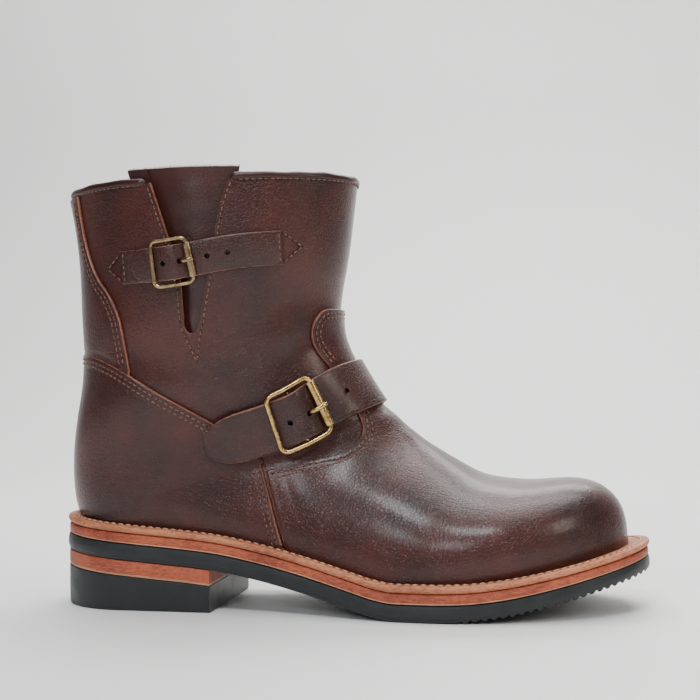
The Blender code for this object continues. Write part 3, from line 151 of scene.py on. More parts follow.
# Side views of the seams: share of the upper's length, height as shares of the rises
SLOT_FRONT = [
    (0.330, 1.93), (0.318, 1.685), (0.302, 1.456), (0.291, 1.245), (0.282, 1.062), (0.273, 0.945),
    (0.264, 0.885),
]
SLOT_BACK = [
    (0.181, 1.80), (0.203, 1.541), (0.219, 1.347), (0.235, 1.165), (0.240, 1.017), (0.240, 0.913),
    (0.245, 0.868),
]
COUNTER_TOP = [(-0.001, 0.722), (0.070, 0.706), (0.180, 0.590), (0.296, 0.454), (0.360, 0.372)]
COUNTER_FRONT = [(0.366, 0.330), (0.378, 0.240), (0.396, 0.110), (0.412, 0.000)]
TONGUE = [(0.491, 1.115), (0.476, 1.098), (0.461, 1.030), (0.453, 0.930), (0.462, 0.870), (0.482, 0.810)]
LOBE = [
    (0.508, 0.720), (0.533, 0.630), (0.540, 0.580), (0.534, 0.525), (0.513, 0.466), (0.486, 0.428),
    (0.430, 0.365), (0.376, 0.305),
]
STAY_SIDE = [
    (0.026, 1.640), (0.033, 1.430), (0.049, 1.235), (0.080, 1.051), (0.104, 0.960), (0.118, 0.880),
    (0.125, 0.778), (0.133, 0.668),
]
STRAP_LINE = [(0.268, 0.372), (0.340, 0.452), (0.428, 0.572), (0.498, 0.706)]
SHAFT_STRAP_LINE = [(0.128, 1.170), (0.227, 1.222), (0.320, 1.322), (0.414, 1.428)]

# Stitches
THREAD = 0.00086
STITCH_PITCH = 0.0031
STITCH_RINGS = 6
STITCH_SIDES = 6
NEEDLE_HOLE = 0.00042
WELT_THREAD = 0.00100
WELT_PITCH = 0.0040
AWL_HOLE = 0.00062
AWL_SIDES = 8
FIRST_ROW = 0.0023  # from the edge to the first row
SECOND_ROW = 0.0047

# Soft folds of the shaft and the instep: side view x and z, angle, half length,
# half width, depth (a trough is negative), side (-1 outer, 1 inner, 0 both)
FOLDS = [
    (0.036, 0.094, -20, 0.022, 0.0090, -0.0010, -1),
    (0.030, 0.108, -24, 0.024, 0.0070, 0.0005, -1),
    (0.088, 0.128, 38, 0.022, 0.0075, -0.0009, -1),
    (0.083, 0.141, 30, 0.022, 0.0070, 0.0006, -1),
    (0.090, 0.156, 18, 0.020, 0.0090, -0.0006, -1),
    (0.012, 0.128, -12, 0.018, 0.0080, -0.0006, -1),
    (0.060, 0.118, 70, 0.026, 0.0110, -0.0006, -1),
    (0.040, 0.098, -14, 0.030, 0.0100, -0.0012, 1),
    (0.038, 0.115, -10, 0.030, 0.0080, 0.0006, 1),
    (0.082, 0.126, 30, 0.026, 0.0080, -0.0011, 1),
    (0.078, 0.143, 22, 0.026, 0.0090, 0.0006, 1),
    (0.030, 0.150, 4, 0.032, 0.0120, -0.0007, 1),
    (0.066, 0.172, 60, 0.026, 0.0120, -0.0006, 1),
    (0.150, 0.060, 62, 0.026, 0.0080, -0.0004, 0),
    (0.166, 0.056, 66, 0.026, 0.0070, 0.0003, 0),
]


def smoothstep(value):
    value = np.clip(value, 0.0, 1.0)
    return value * value * (3.0 - 2.0 * value)


def unit(vectors):
    return vectors / np.maximum(np.linalg.norm(vectors, axis=-1, keepdims=True), 1e-12)


def distances_along(points):
    """Length of the way from the first point to each of them."""
    return np.concatenate([[0], np.cumsum(np.linalg.norm(np.diff(points, axis=0), axis=1))])


def read_along(at, length, values):
    """Rows of values at those lengths."""
    return np.stack([np.interp(at, length, values[:, k]) for k in range(values.shape[1])], axis=-1)


class Smooth:
    """A cubic spline through values at rising stations, flat at its ends when asked."""

    def __init__(self, stations, values, flat=False):
        x = np.array(stations, float)
        y = np.array(values, float)
        n = len(x)
        h = np.diff(x)
        rows = np.zeros((n, n))
        right = np.zeros(n)
        rows[0, 0] = rows[-1, -1] = 1.0
        if flat:
            rows[0, :2] = 2 * h[0], h[0]
            right[0] = 6 * (y[1] - y[0]) / h[0]
            rows[-1, -2:] = h[-1], 2 * h[-1]
            right[-1] = -6 * (y[-1] - y[-2]) / h[-1]
        for i in range(1, n - 1):
            rows[i, i - 1 : i + 2] = h[i - 1], 2 * (h[i - 1] + h[i]), h[i]
            right[i] = 6 * ((y[i + 1] - y[i]) / h[i] - (y[i] - y[i - 1]) / h[i - 1])
        self.x, self.y, self.h, self.bend = x, y, h, np.linalg.solve(rows, right)

    def __call__(self, at):
        at = np.clip(np.asarray(at, float), self.x[0], self.x[-1])
        i = np.clip(np.searchsorted(self.x, at, side="right") - 1, 0, len(self.h) - 1)
        h = self.h[i]
        a = (self.x[i + 1] - at) / h
        b = (at - self.x[i]) / h
        return a * self.y[i] + b * self.y[i + 1] + (
            (a**3 - a) * self.bend[i] + (b**3 - b) * self.bend[i + 1]
        ) * h * h / 6


class Steady:
    """A cubic that never overshoots the values it passes through."""

    def __init__(self, stations, values):
        x = np.array(stations, float)
        y = np.array(values, float)
        h = np.diff(x)
        step = np.diff(y) / h
        slope = np.zeros(len(x))
        slope[0], slope[-1] = step[0], step[-1]
        for i in range(1, len(x) - 1):
            if step[i - 1] * step[i] > 0:
                w1, w2 = 2 * h[i] + h[i - 1], h[i] + 2 * h[i - 1]
                slope[i] = (w1 + w2) / (w1 / step[i - 1] + w2 / step[i])
        self.x, self.y, self.h, self.slope = x, y, h, slope

    def __call__(self, at):
        at = np.clip(np.asarray(at, float), self.x[0], self.x[-1])
        i = np.clip(np.searchsorted(self.x, at, side="right") - 1, 0, len(self.h) - 1)
        h = self.h[i]
        k = (at - self.x[i]) / h
        return (
            self.y[i] * (1 + 2 * k) * (1 - k) ** 2
            + self.y[i + 1] * k * k * (3 - 2 * k)
            + h * self.slope[i] * k * (1 - k) ** 2
            - h * self.slope[i + 1] * k * k * (1 - k)
        )


heel_share = Steady([row[0] for row in BOTTOM_LINE], [row[1] for row in BOTTOM_LINE])
toe_share = Steady([row[0] for row in BOTTOM_LINE], [row[2] for row in BOTTOM_LINE])
feather_lateral = Smooth([row[0] for row in FEATHER], [row[1] for row in FEATHER])
feather_medial = Smooth([row[0] for row in FEATHER], [row[2] for row in FEATHER])


def welt_top(x):
    share = (np.asarray(x, float) - SOLE_BACK) / SOLE_LENGTH
    return STACK + HEEL_RISE * heel_share(share) + TOE_SPRING * toe_share(share)


def thinning(x):
    share = (np.asarray(x, float) - SOLE_BACK) / SOLE_LENGTH
    return 1.0 - 0.16 * smoothstep((share - 0.72) / 0.28)


def centre(x):
    share = (np.asarray(x, float) - UPPER_BACK) / UPPER_LENGTH
    return TOE_SWING * smoothstep((share - 0.55) / 0.45)


def feather(share, medial):
    share = np.clip(np.asarray(share, float), 0.0, 1.0)
    table = feather_medial(share) if medial else feather_lateral(share)
    heel = np.sqrt(np.clip(1.0 - np.clip(1.0 - share / HEEL_ROUND, 0, 1) ** 2, 0, 1))
    toe = np.clip(1.0 - np.clip((share - 1.0 + TOE_ROUND) / TOE_ROUND, 0, 1) ** 2.25, 0, 1) ** (1 / 2.1)
    return table * BALL_WIDTH * heel * toe


def rise(share):
    share = np.asarray(share, float)
    return np.where(share <= 1.0, share * INSTEP_RISE, INSTEP_RISE + (share - 1.0) * SHAFT_RISE)


def side_point(x_share, h_share):
    x = UPPER_BACK + x_share * UPPER_LENGTH
    return x, welt_top(x) + STAND + rise(h_share)


ROWS = range(len(SECTIONS))
front_x, front_h = (Smooth(ROWS, [row[k] for row in SECTIONS]) for k in (0, 1))
back_x, back_h = (Smooth(ROWS[: SEAT + 1], [row[k] for row in SECTIONS[: SEAT + 1]]) for k in (2, 3))
seat_x = Smooth(ROWS[SEAT:], [row[2] for row in SECTIONS[SEAT:]], flat=True)
wide_lateral, wide_medial, widest_at, fullness, squareness, low_fullness, ridge = (
    Smooth(ROWS, [row[k] for row in SECTIONS]) for k in range(4, 11)
)


def section_ends(s):
    s = np.asarray(s, float)
    top = side_point(front_x(s), np.clip(front_h(s), 0.0, None))
    low_share = np.where(s <= SEAT, back_x(np.minimum(s, SEAT)), seat_x(np.maximum(s, SEAT)))
    low_rise = np.where(s < SEAT, back_h(np.minimum(s, SEAT)), 0.0)
    low = side_point(low_share, np.clip(low_rise, 0.0, None))
    return top, low, low_share


def skin(s, t):
    """Points of the upper's outer face before its folds."""
    s, t = np.broadcast_arrays(np.asarray(s, float), np.asarray(t, float))
    (tx, tz), (bx, bz), low_share = section_ends(s)
    medial = t > 0
    a = np.clip(np.abs(t), 0.0, 1.0)
    edge_width = np.where(s > SEAT, np.where(medial, feather(low_share, True), feather(low_share, False)), 0.0)
    blend = smoothstep((s - 13.5) / 1.5)
    wide = np.where(medial, wide_medial(s), wide_lateral(s)) * (1 - blend) + edge_width * TOE_BULGE * blend
    split = widest_at(s)
    phi = np.clip(a / split, 0, 1) * math.pi / 2
    psi = np.clip((a - split) / (1 - split), 0, 1) * math.pi / 2
    along = split * (1 - np.cos(phi)) + (1 - split) * np.sin(psi)
    upper_half = np.clip(1 - np.clip(np.cos(phi), 0, 1) ** fullness(s), 0, 1) ** (1 / squareness(s))
    cut_in = 1 - np.clip(edge_width / np.maximum(wide, 1e-9), 0, 1) ** 2
    lower_half = np.sqrt(np.clip(1 - cut_in * np.sin(psi) ** low_fullness(s), 0, 1))
    x = tx + (bx - tx) * along
    z = tz + (bz - tz) * along
    half = wide * np.where(a < split, upper_half, lower_half)
    y = np.where(medial, half, -half) + centre(x) + ridge(s) * BALL_WIDTH * (1 - along) ** 2
    return np.stack([x, y, z], axis=-1)


def skin_normal(s, t):
    s, t = np.broadcast_arrays(np.asarray(s, float), np.asarray(t, float))
    s = np.clip(s, 0.0, TIP - 0.02)

    def one(t):
        ds, dt = 0.02, 0.006
        along = skin(np.minimum(s + ds, TIP), t) - skin(np.maximum(s - ds, 0.0), t)
        across = skin(s, np.minimum(t + dt, 1.0)) - skin(s, np.maximum(t - dt, -1.0))
        return unit(np.cross(along, across))

    normal = one(t)
    joined = ((s <= SEAT) & (np.abs(t) > 0.999))[..., None]
    normal = np.where(joined, one(t) + one(-t), normal)
    tip = (s > TIP - 0.05)[..., None]
    normal = np.where(tip, np.array([1.0, 0.0, 0.0]), normal)
    return unit(normal)


def folds(points):
    """How far the leather's soft folds lift it off the last."""
    x, y, z = points[..., 0], points[..., 1] - centre(points[..., 0]), points[..., 2]
    total = np.zeros(x.shape)
    for fx, fz, angle, half_long, half_wide, depth, side in FOLDS:
        ca, sa = math.cos(math.radians(angle)), math.sin(math.radians(angle))
        along = (x - fx) * ca + (z - fz) * sa
        across = -(x - fx) * sa + (z - fz) * ca
        reach = np.exp(-((along / half_long) ** 2)) * np.exp(-((across / half_wide) ** 2))
        mask = smoothstep(0.5 + side * y / 0.024) if side else 1.0
        total += depth * reach * mask
    return total


def face(s, t, height=0.0):
    """Points at a height over the leather, with its folds."""
    base = skin(s, t)
    return base + skin_normal(s, t) * (np.asarray(height) + folds(base))[..., None]


SCAN = np.linspace(0.0, TIP - 0.3, 1200)


def locate(x, z):
    """Section and distance around it of a side view point."""
    (tx, tz), (bx, bz), _ = section_ends(SCAN)
    side = (bx - tx) * (z - tz) - (bz - tz) * (x - tx)
    along = ((x - tx) * (bx - tx) + (z - tz) * (bz - tz)) / ((bx - tx) ** 2 + (bz - tz) ** 2)
    hits = np.nonzero((side[:-1] * side[1:] <= 0) & (along[:-1] > -0.25) & (along[:-1] < 1.25))[0]
    if len(hits):
        i = hits[0]
        k = side[i] / (side[i] - side[i + 1]) if side[i] != side[i + 1] else 0.0
        s = SCAN[i] + (SCAN[i + 1] - SCAN[i]) * k
    else:
        collar = tz[0] + (bz[0] - tz[0]) * (x - tx[0]) / (bx[0] - tx[0])
        s = 0.0 if z > collar - 0.001 else float(SCAN[np.argmin(np.hypot(bx - x, bz - z))])
    (tx, tz), (bx, bz), _ = section_ends(s)
    along = ((x - tx) * (bx - tx) + (z - tz) * (bz - tz)) / ((bx - tx) ** 2 + (bz - tz) ** 2)
    along = float(np.clip(along, 0.0, 1.0))
    split = float(widest_at(s))
    if along < split:
        t = split * math.acos(1 - along / split) / (math.pi / 2)
    else:
        t = split + (1 - split) * math.asin(min((along - split) / (1 - split), 1.0)) / (math.pi / 2)
    return float(s), t


def located(points):
    return [locate(*side_point(x, h)) for x, h in points]


def on_side(x, z, depth):
    """A point of the outer side at this side view place, depth out from its face."""
    s, t = locate(x, z)
    base = skin(s, -t)
    above = max(z - float(base[2]), 0.0) if s <= 1e-6 else 0.0
    lift = depth + float(folds(base)) + above * 0.08
    return base + skin_normal(s, -t) * lift + np.array([x - base[0], 0.0, above if above else z - base[2]])


def curve_through(points, count):
    """Evenly spread points along a smooth line through side view points."""
    points = np.array(points, float)
    length = np.concatenate([[0], np.cumsum(np.hypot(*np.diff(points * [1.0, 0.4], axis=0).T))])
    xs, ys = Smooth(length, points[:, 0]), Smooth(length, points[:, 1])
    at = np.linspace(0, length[-1], count)
    return list(zip(xs(at), ys(at)))


def share_row(x_share):
    rows = np.linspace(SEAT, TIP, 600)
    return float(np.interp(x_share, seat_x(rows), rows))


class Course:
    """A line over the upper. u runs along it, v across it and h out from the face."""

    def __init__(self, marks, smooth=True, sag=0.0):
        self.sag = sag
        marks = np.array(marks, float)
        length = distances_along(skin(marks[:, 0], marks[:, 1]))
        fine = np.linspace(0, length[-1], 500)
        if smooth:
            self.s, self.t = Smooth(length, marks[:, 0])(fine), Smooth(length, marks[:, 1])(fine)
        else:
            self.s, self.t = np.interp(fine, length, marks[:, 0]), np.interp(fine, length, marks[:, 1])
        self.run = distances_along(skin(self.s, self.t))
        self.length = float(self.run[-1])

    def at(self, u, v, h, folded=1.0):
        u, v, h = np.broadcast_arrays(np.asarray(u, float), np.asarray(v, float), np.asarray(h, float))
        v = v - self.sag * (1 - smoothstep((u - 0.040) / 0.035))
        s, t = np.interp(u, self.run, self.s), np.interp(u, self.run, self.t)
        before = np.clip(u - 0.002, 0.0, self.length - 0.004)
        after = before + 0.004
        along = skin(np.interp(after, self.run, self.s), np.interp(after, self.run, self.t))
        along = along - skin(np.interp(before, self.run, self.s), np.interp(before, self.run, self.t))
        along = unit(along)
        across = unit(np.cross(skin_normal(s, t), along))
        s2, t2 = s, t
        for share in (0.5, 1.0):
            ds = (skin(s2 + 0.01, t2) - skin(s2 - 0.01, t2)) / 0.02
            dt = (skin(s2, t2 + 0.005) - skin(s2, t2 - 0.005)) / 0.01
            a, b, c = (ds * ds).sum(-1), (ds * dt).sum(-1), (dt * dt).sum(-1)
            e, f = (ds * across).sum(-1), (dt * across).sum(-1)
            det = np.maximum(a * c - b * b, 1e-18)
            step_s, step_t = (c * e - b * f) / det, (a * f - b * e) / det
            true = np.sqrt(np.maximum(a * step_s**2 + 2 * b * step_s * step_t + c * step_t**2, 1e-18))
            s2, t2 = s + step_s / true * v * share, t + step_t / true * v * share
            s2, t2 = np.clip(s2, 0.0, TIP), np.clip(t2, -1.0, 1.0)
        past = (u - np.clip(u, 0.0, self.length))[..., None]
        base = skin(s2, t2)
        return base + skin_normal(s2, t2) * (h + folds(base) * folded)[..., None] + along * past

    def nearest(self, x, z):
        places = skin(self.s, self.t)
        outer = places[:, 1] < centre(x)
        gap = np.hypot(places[:, 0] - x, places[:, 2] - z) + np.where(outer, 0, 1)
        return float(self.run[int(np.argmin(gap))])


# Shader groups that more than one material uses
def new_group(name, inputs, outputs):
    group = bpy.data.node_groups.new(name, "ShaderNodeTree")
    for label, kind, value in inputs:
        socket = group.interface.new_socket(label, in_out="INPUT", socket_type=kind)
        socket.default_value = value
    for label, kind in outputs:
        group.interface.new_socket(label, in_out="OUTPUT", socket_type=kind)
    return group, group.nodes.new("NodeGroupInput"), group.nodes.new("NodeGroupOutput")


class Wiring:
    """Short ways to add and join shader nodes."""

    def __init__(self, tree):
        self.tree = tree

    def put(self, socket, value):
        if isinstance(value, bpy.types.NodeSocket):
            self.tree.links.new(value, socket)
        elif value is not None:
            socket.default_value = value

    def node(self, kind, inputs=None, **settings):
        made = self.tree.nodes.new(kind)
        for key, value in settings.items():
            setattr(made, key, value)
        for key, value in (inputs or {}).items():
            self.put(made.inputs[key], value)
        return made

    def place(self):
        return self.node("ShaderNodeTexCoord").outputs["Object"]

    def stretched(self, place, *scale):
        return self.node("ShaderNodeMapping", {"Vector": place, "Scale": scale}).outputs[0]

    def math(self, operation, a, b=None, c=None, clamp=False):
        made = self.node("ShaderNodeMath", operation=operation, use_clamp=clamp)
        for k, value in enumerate((a, b, c)):
            self.put(made.inputs[k], value)
        return made.outputs[0]

    def mix(self, factor, a, b, blend="MIX"):
        made = self.node("ShaderNodeMix", data_type="RGBA", blend_type=blend)
        self.put(made.inputs[0], factor)
        self.put(made.inputs[6], a)
        self.put(made.inputs[7], b)
        return made.outputs[2]

    def span(self, value, low, high, to_low=0.0, to_high=1.0):
        made = self.node("ShaderNodeMapRange", {0: value, 1: low, 2: high, 3: to_low, 4: to_high}, clamp=True)
        return made.outputs[0]

    def noise(self, vector, scale, detail=2.0, rough=0.5, distortion=0.0):
        inputs = {
            "Vector": vector, "Scale": scale, "Detail": detail, "Roughness": rough, "Distortion": distortion,
        }
        return self.node("ShaderNodeTexNoise", inputs).outputs["Fac"]

    def cells(self, vector, scale, feature="F1"):
        made = self.node("ShaderNodeTexVoronoi", {"Vector": vector, "Scale": scale}, feature=feature)
        return made.outputs["Distance"]


def rgba(colour):
    return (*colour, 1.0)


def leather_group():
    """Smooth hide: mottled dye, pores, fine grain, faint wrinkles and slow waves."""
    group, into, out = new_group(
        "hide",
        [
            ("Dark", "NodeSocketColor", (0.03, 0.01, 0.008, 1)),
            ("Light", "NodeSocketColor", (0.10, 0.03, 0.02, 1)),
            ("Grain", "NodeSocketFloat", 1.0),
            ("Rough", "NodeSocketFloat", 0.3),
        ],
        [("Color", "NodeSocketColor"), ("Roughness", "NodeSocketFloat"), ("Height", "NodeSocketFloat")],
    )
    w = Wiring(group)
    place = w.place()
    cloud = w.noise(place, 24.0, 3.0, 0.6)
    speck = w.noise(place, 520.0, 2.0, 0.7)
    mottled = w.math("MULTIPLY_ADD", cloud, 0.85, w.math("MULTIPLY", speck, 0.15))
    w.put(out.inputs["Color"], w.mix(w.span(mottled, 0.34, 0.66), into.outputs["Dark"], into.outputs["Light"]))
    pores = w.cells(place, 1150.0)
    plates = w.cells(place, 620.0, "DISTANCE_TO_EDGE")
    creased = w.span(plates, 0.0, 0.12)
    warped = w.stretched(place, 60.0, 60.0, 210.0)
    wrinkle = w.noise(warped, 3.0, 3.0, 0.6, 0.8)
    waves = w.noise(place, 42.0, 1.0, 0.4)
    height = w.math("MULTIPLY", pores, 0.20)
    height = w.math("MULTIPLY_ADD", creased, 0.26, height)
    height = w.math("MULTIPLY_ADD", wrinkle, 0.55, height)
    height = w.math("MULTIPLY", height, into.outputs["Grain"])
    w.put(out.inputs["Height"], w.math("MULTIPLY_ADD", waves, 1.7, height))
    varied = w.math("MULTIPLY_ADD", w.noise(place, 75.0, 3.0, 0.6), 0.14, into.outputs["Rough"])
    w.put(out.inputs["Roughness"], w.math("SUBTRACT", varied, 0.07, clamp=True))
    return group


def fibre_group():
    """Cut leather edge: fibres along the layers, darker pits and dye left in streaks."""
    group, into, out = new_group(
        "cut_edge",
        [
            ("Dark", "NodeSocketColor", (0.3, 0.1, 0.05, 1)),
            ("Light", "NodeSocketColor", (0.7, 0.4, 0.25, 1)),
            ("Layers", "NodeSocketFloat", 1.0),
        ],
        [("Color", "NodeSocketColor"), ("Roughness", "NodeSocketFloat"), ("Height", "NodeSocketFloat")],
    )
    w = Wiring(group)
    place = w.place()
    flat = w.stretched(place, 1.0, 1.0, 4.2)
    streak = w.noise(flat, 330.0, 4.0, 0.75)
    fine = w.noise(flat, 900.0, 2.0, 0.7)
    cloud = w.noise(place, 30.0, 2.0, 0.5)
    tone = w.math("MULTIPLY_ADD", streak, 0.55, w.math("MULTIPLY", cloud, 0.30))
    tone = w.math("MULTIPLY_ADD", fine, 0.15, tone)
    w.put(out.inputs["Color"], w.mix(w.span(tone, 0.42, 0.58), into.outputs["Dark"], into.outputs["Light"]))
    w.put(out.inputs["Roughness"], w.span(streak, 0.3, 0.7, 0.48, 0.72))
    w.put(out.inputs["Height"], w.math("MULTIPLY", w.math("ADD", streak, fine), into.outputs["Layers"]))
    return group


HIDE = leather_group()
CUT_EDGE = fibre_group()


def new_material(name):
    made = bpy.data.materials.new(name)
    made.use_nodes = True
    shader = made.node_tree.nodes["Principled BSDF"]
    return made, Wiring(made.node_tree), shader


def add_bump(w, shader, height, distance, strength=1.0):
    bump = w.node("ShaderNodeBump", {"Height": height, "Distance": distance, "Strength": strength})
    w.put(shader.inputs["Normal"], bump.outputs["Normal"])


def hide_material(name, dark, light, rough=0.33, grain=1.0, depth=0.00034, rim=None, coat=0.22):
    """Dyed leather. rim is the colour that shows through along cut edges."""
    made, w, shader = new_material(name)
    inputs = {"Dark": rgba(dark), "Light": rgba(light), "Grain": grain, "Rough": rough}
    skin_look = w.node("ShaderNodeGroup", inputs, node_tree=HIDE)
    colour = skin_look.outputs["Color"]
    if rim:
        edge_near = w.node("ShaderNodeAttribute", attribute_name="rim").outputs["Fac"]
        place = w.place()
        ragged = w.math("MULTIPLY_ADD", w.noise(place, 260.0, 2.0, 0.6), 0.5, edge_near)
        colour = w.mix(w.span(ragged, 0.95, 1.25), colour, rgba(rim))
    w.put(shader.inputs["Base Color"], colour)
    w.put(shader.inputs["Roughness"], skin_look.outputs["Roughness"])
    shader.inputs["Specular IOR Level"].default_value = 0.38
    shader.inputs["Coat Weight"].default_value = coat
    shader.inputs["Coat Roughness"].default_value = 0.20
    add_bump(w, shader, skin_look.outputs["Height"], depth)
    return made


def edge_material(name, dark, light, depth=0.00012, layers=1.0):
    made, w, shader = new_material(name)
    inputs = {"Dark": rgba(dark), "Light": rgba(light), "Layers": layers}
    look = w.node("ShaderNodeGroup", inputs, node_tree=CUT_EDGE)
    w.put(shader.inputs["Base Color"], look.outputs["Color"])
    w.put(shader.inputs["Roughness"], look.outputs["Roughness"])
    add_bump(w, shader, look.outputs["Height"], depth)
    return made


def metal_material(name, colour, tarnish, rough):
    made, w, shader = new_material(name)
    place = w.place()
    stains = w.span(w.noise(place, 240.0, 4.0, 0.65), 0.42, 0.68)
    w.put(shader.inputs["Base Color"], w.mix(stains, rgba(colour), rgba(tarnish)))
    shader.inputs["Metallic"].default_value = 1.0
    w.put(
        shader.inputs["Roughness"],
        w.span(w.noise(place, 900.0, 3.0, 0.7), 0.3, 0.7, rough - 0.05, rough + 0.10),
    )
    add_bump(w, shader, w.noise(place, 1300.0, 3.0, 0.6), 0.00003)
    return made


def rubber_material(name, colour, dusty):
    made, w, shader = new_material(name)
    place = w.place()
    dust = w.span(w.noise(place, 120.0, 4.0, 0.65), 0.45, 0.80)
    w.put(shader.inputs["Base Color"], w.mix(dust, rgba(colour), rgba(dusty)))
    w.put(shader.inputs["Roughness"], w.span(dust, 0.0, 1.0, 0.46, 0.66))
    flat = w.stretched(place, 1.0, 1.0, 3.0)
    add_bump(w, shader, w.noise(flat, 1500.0, 3.0, 0.7), 0.00005)
    return made


def thread_material(name, dark, light, rough=0.5):
    made, w, shader = new_material(name)
    place = w.place()
    # Lighter noise patches: partly the thread's uneven tone, partly painted glints
    tone_and_painted_glints = w.span(w.noise(place, 1100.0, 2.0, 0.6), 0.35, 0.65)
    w.put(shader.inputs["Base Color"], w.mix(tone_and_painted_glints, rgba(dark), rgba(light)))
    shader.inputs["Roughness"].default_value = rough
    add_bump(w, shader, w.noise(place, 2600.0, 2.0, 0.6), 0.00008)
    return made


DYE_DARK = (0.021, 0.0040, 0.0028)
DYE_LIGHT = (0.064, 0.0102, 0.0058)
RAW = (0.36, 0.150, 0.095)
hide = hide_material("hide_smooth", DYE_DARK, DYE_LIGHT)
hide_panel = hide_material("hide_panel", DYE_DARK, DYE_LIGHT, rim=RAW)
hide_strap = hide_material(
    "hide_strap", (0.022, 0.0055, 0.0044), (0.050, 0.0120, 0.0085), rough=0.36, grain=1.3
)
hide_gusset = hide_material(
    "hide_gusset", (0.024, 0.0062, 0.0048), (0.050, 0.0120, 0.0085), rough=0.40, grain=1.0, depth=0.00018
)
hide_binding = hide_material(
    "hide_binding", (0.020, 0.0046, 0.0036), (0.044, 0.0095, 0.0065), rough=0.40, grain=0.8, depth=0.00012,
    coat=0.12,
)
lining = hide_material("lining", (0.20, 0.105, 0.060), (0.30, 0.165, 0.100), rough=0.62, grain=0.7, coat=0.0)
raw_edge = edge_material("raw_edge", (0.15, 0.048, 0.030), (0.38, 0.160, 0.102))
strap_edge = edge_material("strap_edge", (0.10, 0.036, 0.026), (0.30, 0.130, 0.090), layers=0.5)
welt_leather = edge_material("welt_leather", (0.30, 0.078, 0.032), (0.60, 0.235, 0.115), layers=1.0)
midsole_leather = edge_material("midsole_leather", (0.19, 0.026, 0.012), (0.50, 0.115, 0.048), layers=1.8)
sole_line = edge_material("sole_line", (0.36, 0.130, 0.060), (0.62, 0.300, 0.160), layers=0.6)
insole_leather = edge_material("insole_leather", (0.30, 0.170, 0.090), (0.44, 0.270, 0.160), layers=0.3)
rubber = rubber_material("rubber_black", (0.0058, 0.0078, 0.0095), (0.0170, 0.0200, 0.0220))
brass = metal_material("brass_aged", (0.62, 0.415, 0.160), (0.30, 0.175, 0.060), 0.25)
old_brass = metal_material("brass_dark", (0.40, 0.285, 0.150), (0.15, 0.095, 0.050), 0.30)
# The brown thread's light colour paints the glints on its stitches
dark_thread = thread_material("thread_brown", (0.035, 0.0125, 0.0095), (0.235, 0.105, 0.072), 0.42)
cream_thread = thread_material("thread_cream", (0.42, 0.235, 0.125), (0.70, 0.480, 0.300), 0.6)
fuzz = thread_material("raw_fibres", (0.34, 0.22, 0.15), (0.62, 0.47, 0.36), 0.8)
# Flat dark colour that paints the shade inside the needle and awl holes
hole_shade_look, _, hole_shade_shader = new_material("needle_holes")
hole_shade_shader.inputs["Base Color"].default_value = (0.035, 0.014, 0.009, 1)
hole_shade_shader.inputs["Roughness"].default_value = 0.9


def new_object(name, data):
    made = bpy.data.objects.new(name, data)
    bpy.context.scene.collection.objects.link(made)
    return made


def add_piece(name, points, faces, looks, node=None, which=None, values=None, sharp=45, weld=True):
    """A piece from points and faces. which gives each face's material, values a number to each point."""
    mesh = bpy.data.meshes.new(name)
    mesh.from_pydata(np.asarray(points, float).tolist(), [], [tuple(map(int, f)) for f in faces])
    for look in looks:
        mesh.materials.append(look)
    if which is not None:
        mesh.polygons.foreach_set("material_index", np.asarray(which, np.int32))
    if values is not None:
        layer = mesh.attributes.new("rim", "FLOAT", "POINT")
        layer.data.foreach_set("value", np.asarray(values, np.float32))
    work = bmesh.new()
    work.from_mesh(mesh)
    if weld:
        bmesh.ops.remove_doubles(work, verts=work.verts, dist=2e-6)
        bmesh.ops.dissolve_degenerate(work, edges=work.edges, dist=1e-6)
    bmesh.ops.recalc_face_normals(work, faces=work.faces)
    work.to_mesh(mesh)
    work.free()
    mesh.shade_smooth()
    if sharp:
        mesh.set_sharp_from_angle(angle=math.radians(sharp))
    made = new_object(name, mesh)
    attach(made, "root")
    if node:
        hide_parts(node)
    return made


def grid_faces(rows, columns, closed=False, start=0):
    """Quads between rows of points; closed joins each row's last point to its first."""
    i, j = np.meshgrid(np.arange(rows - 1), np.arange(columns if closed else columns - 1), indexing="ij")
    k = (j + 1) % columns
    quads = np.stack([i * columns + j, i * columns + k, (i + 1) * columns + k, (i + 1) * columns + j], axis=-1)
    return (quads.reshape(-1, 4) + start).tolist()


# The upper's wall
# section and turn of the slot's two edges down to where its round bottom begins
SLOT_BACK_EDGE = [(0.0, -0.588), (0.9, -0.572), (1.7, -0.555), (2.4, -0.535), (2.9, -0.526), (3.5, -0.524)]
SLOT_FRONT_EDGE = [(0.0, -0.417), (0.5, -0.430), (1.4, -0.450), (2.1, -0.462), (2.8, -0.470), (3.5, -0.482)]
SLOT_LOW = 4.04
SLOT_ROUND = 0.54
slot_back_turn = Steady([p[0] for p in SLOT_BACK_EDGE], [p[1] for p in SLOT_BACK_EDGE])
slot_front_turn = Steady([p[0] for p in SLOT_FRONT_EDGE], [p[1] for p in SLOT_FRONT_EDGE])


def slot_span(s):
    """Turn of the slot's back and front edges at section s, closing in a round bottom."""
    s = np.asarray(s, float)
    back, ahead = slot_back_turn(s), slot_front_turn(s)
    closing = np.clip((s - (SLOT_LOW - SLOT_ROUND)) / SLOT_ROUND, 0, 1)
    middle = (back + ahead) / 2 - 0.010 * closing
    half = (ahead - back) / 2 * np.sqrt(np.clip(1 - closing**2, 0, 1))
    return middle - half, middle + half


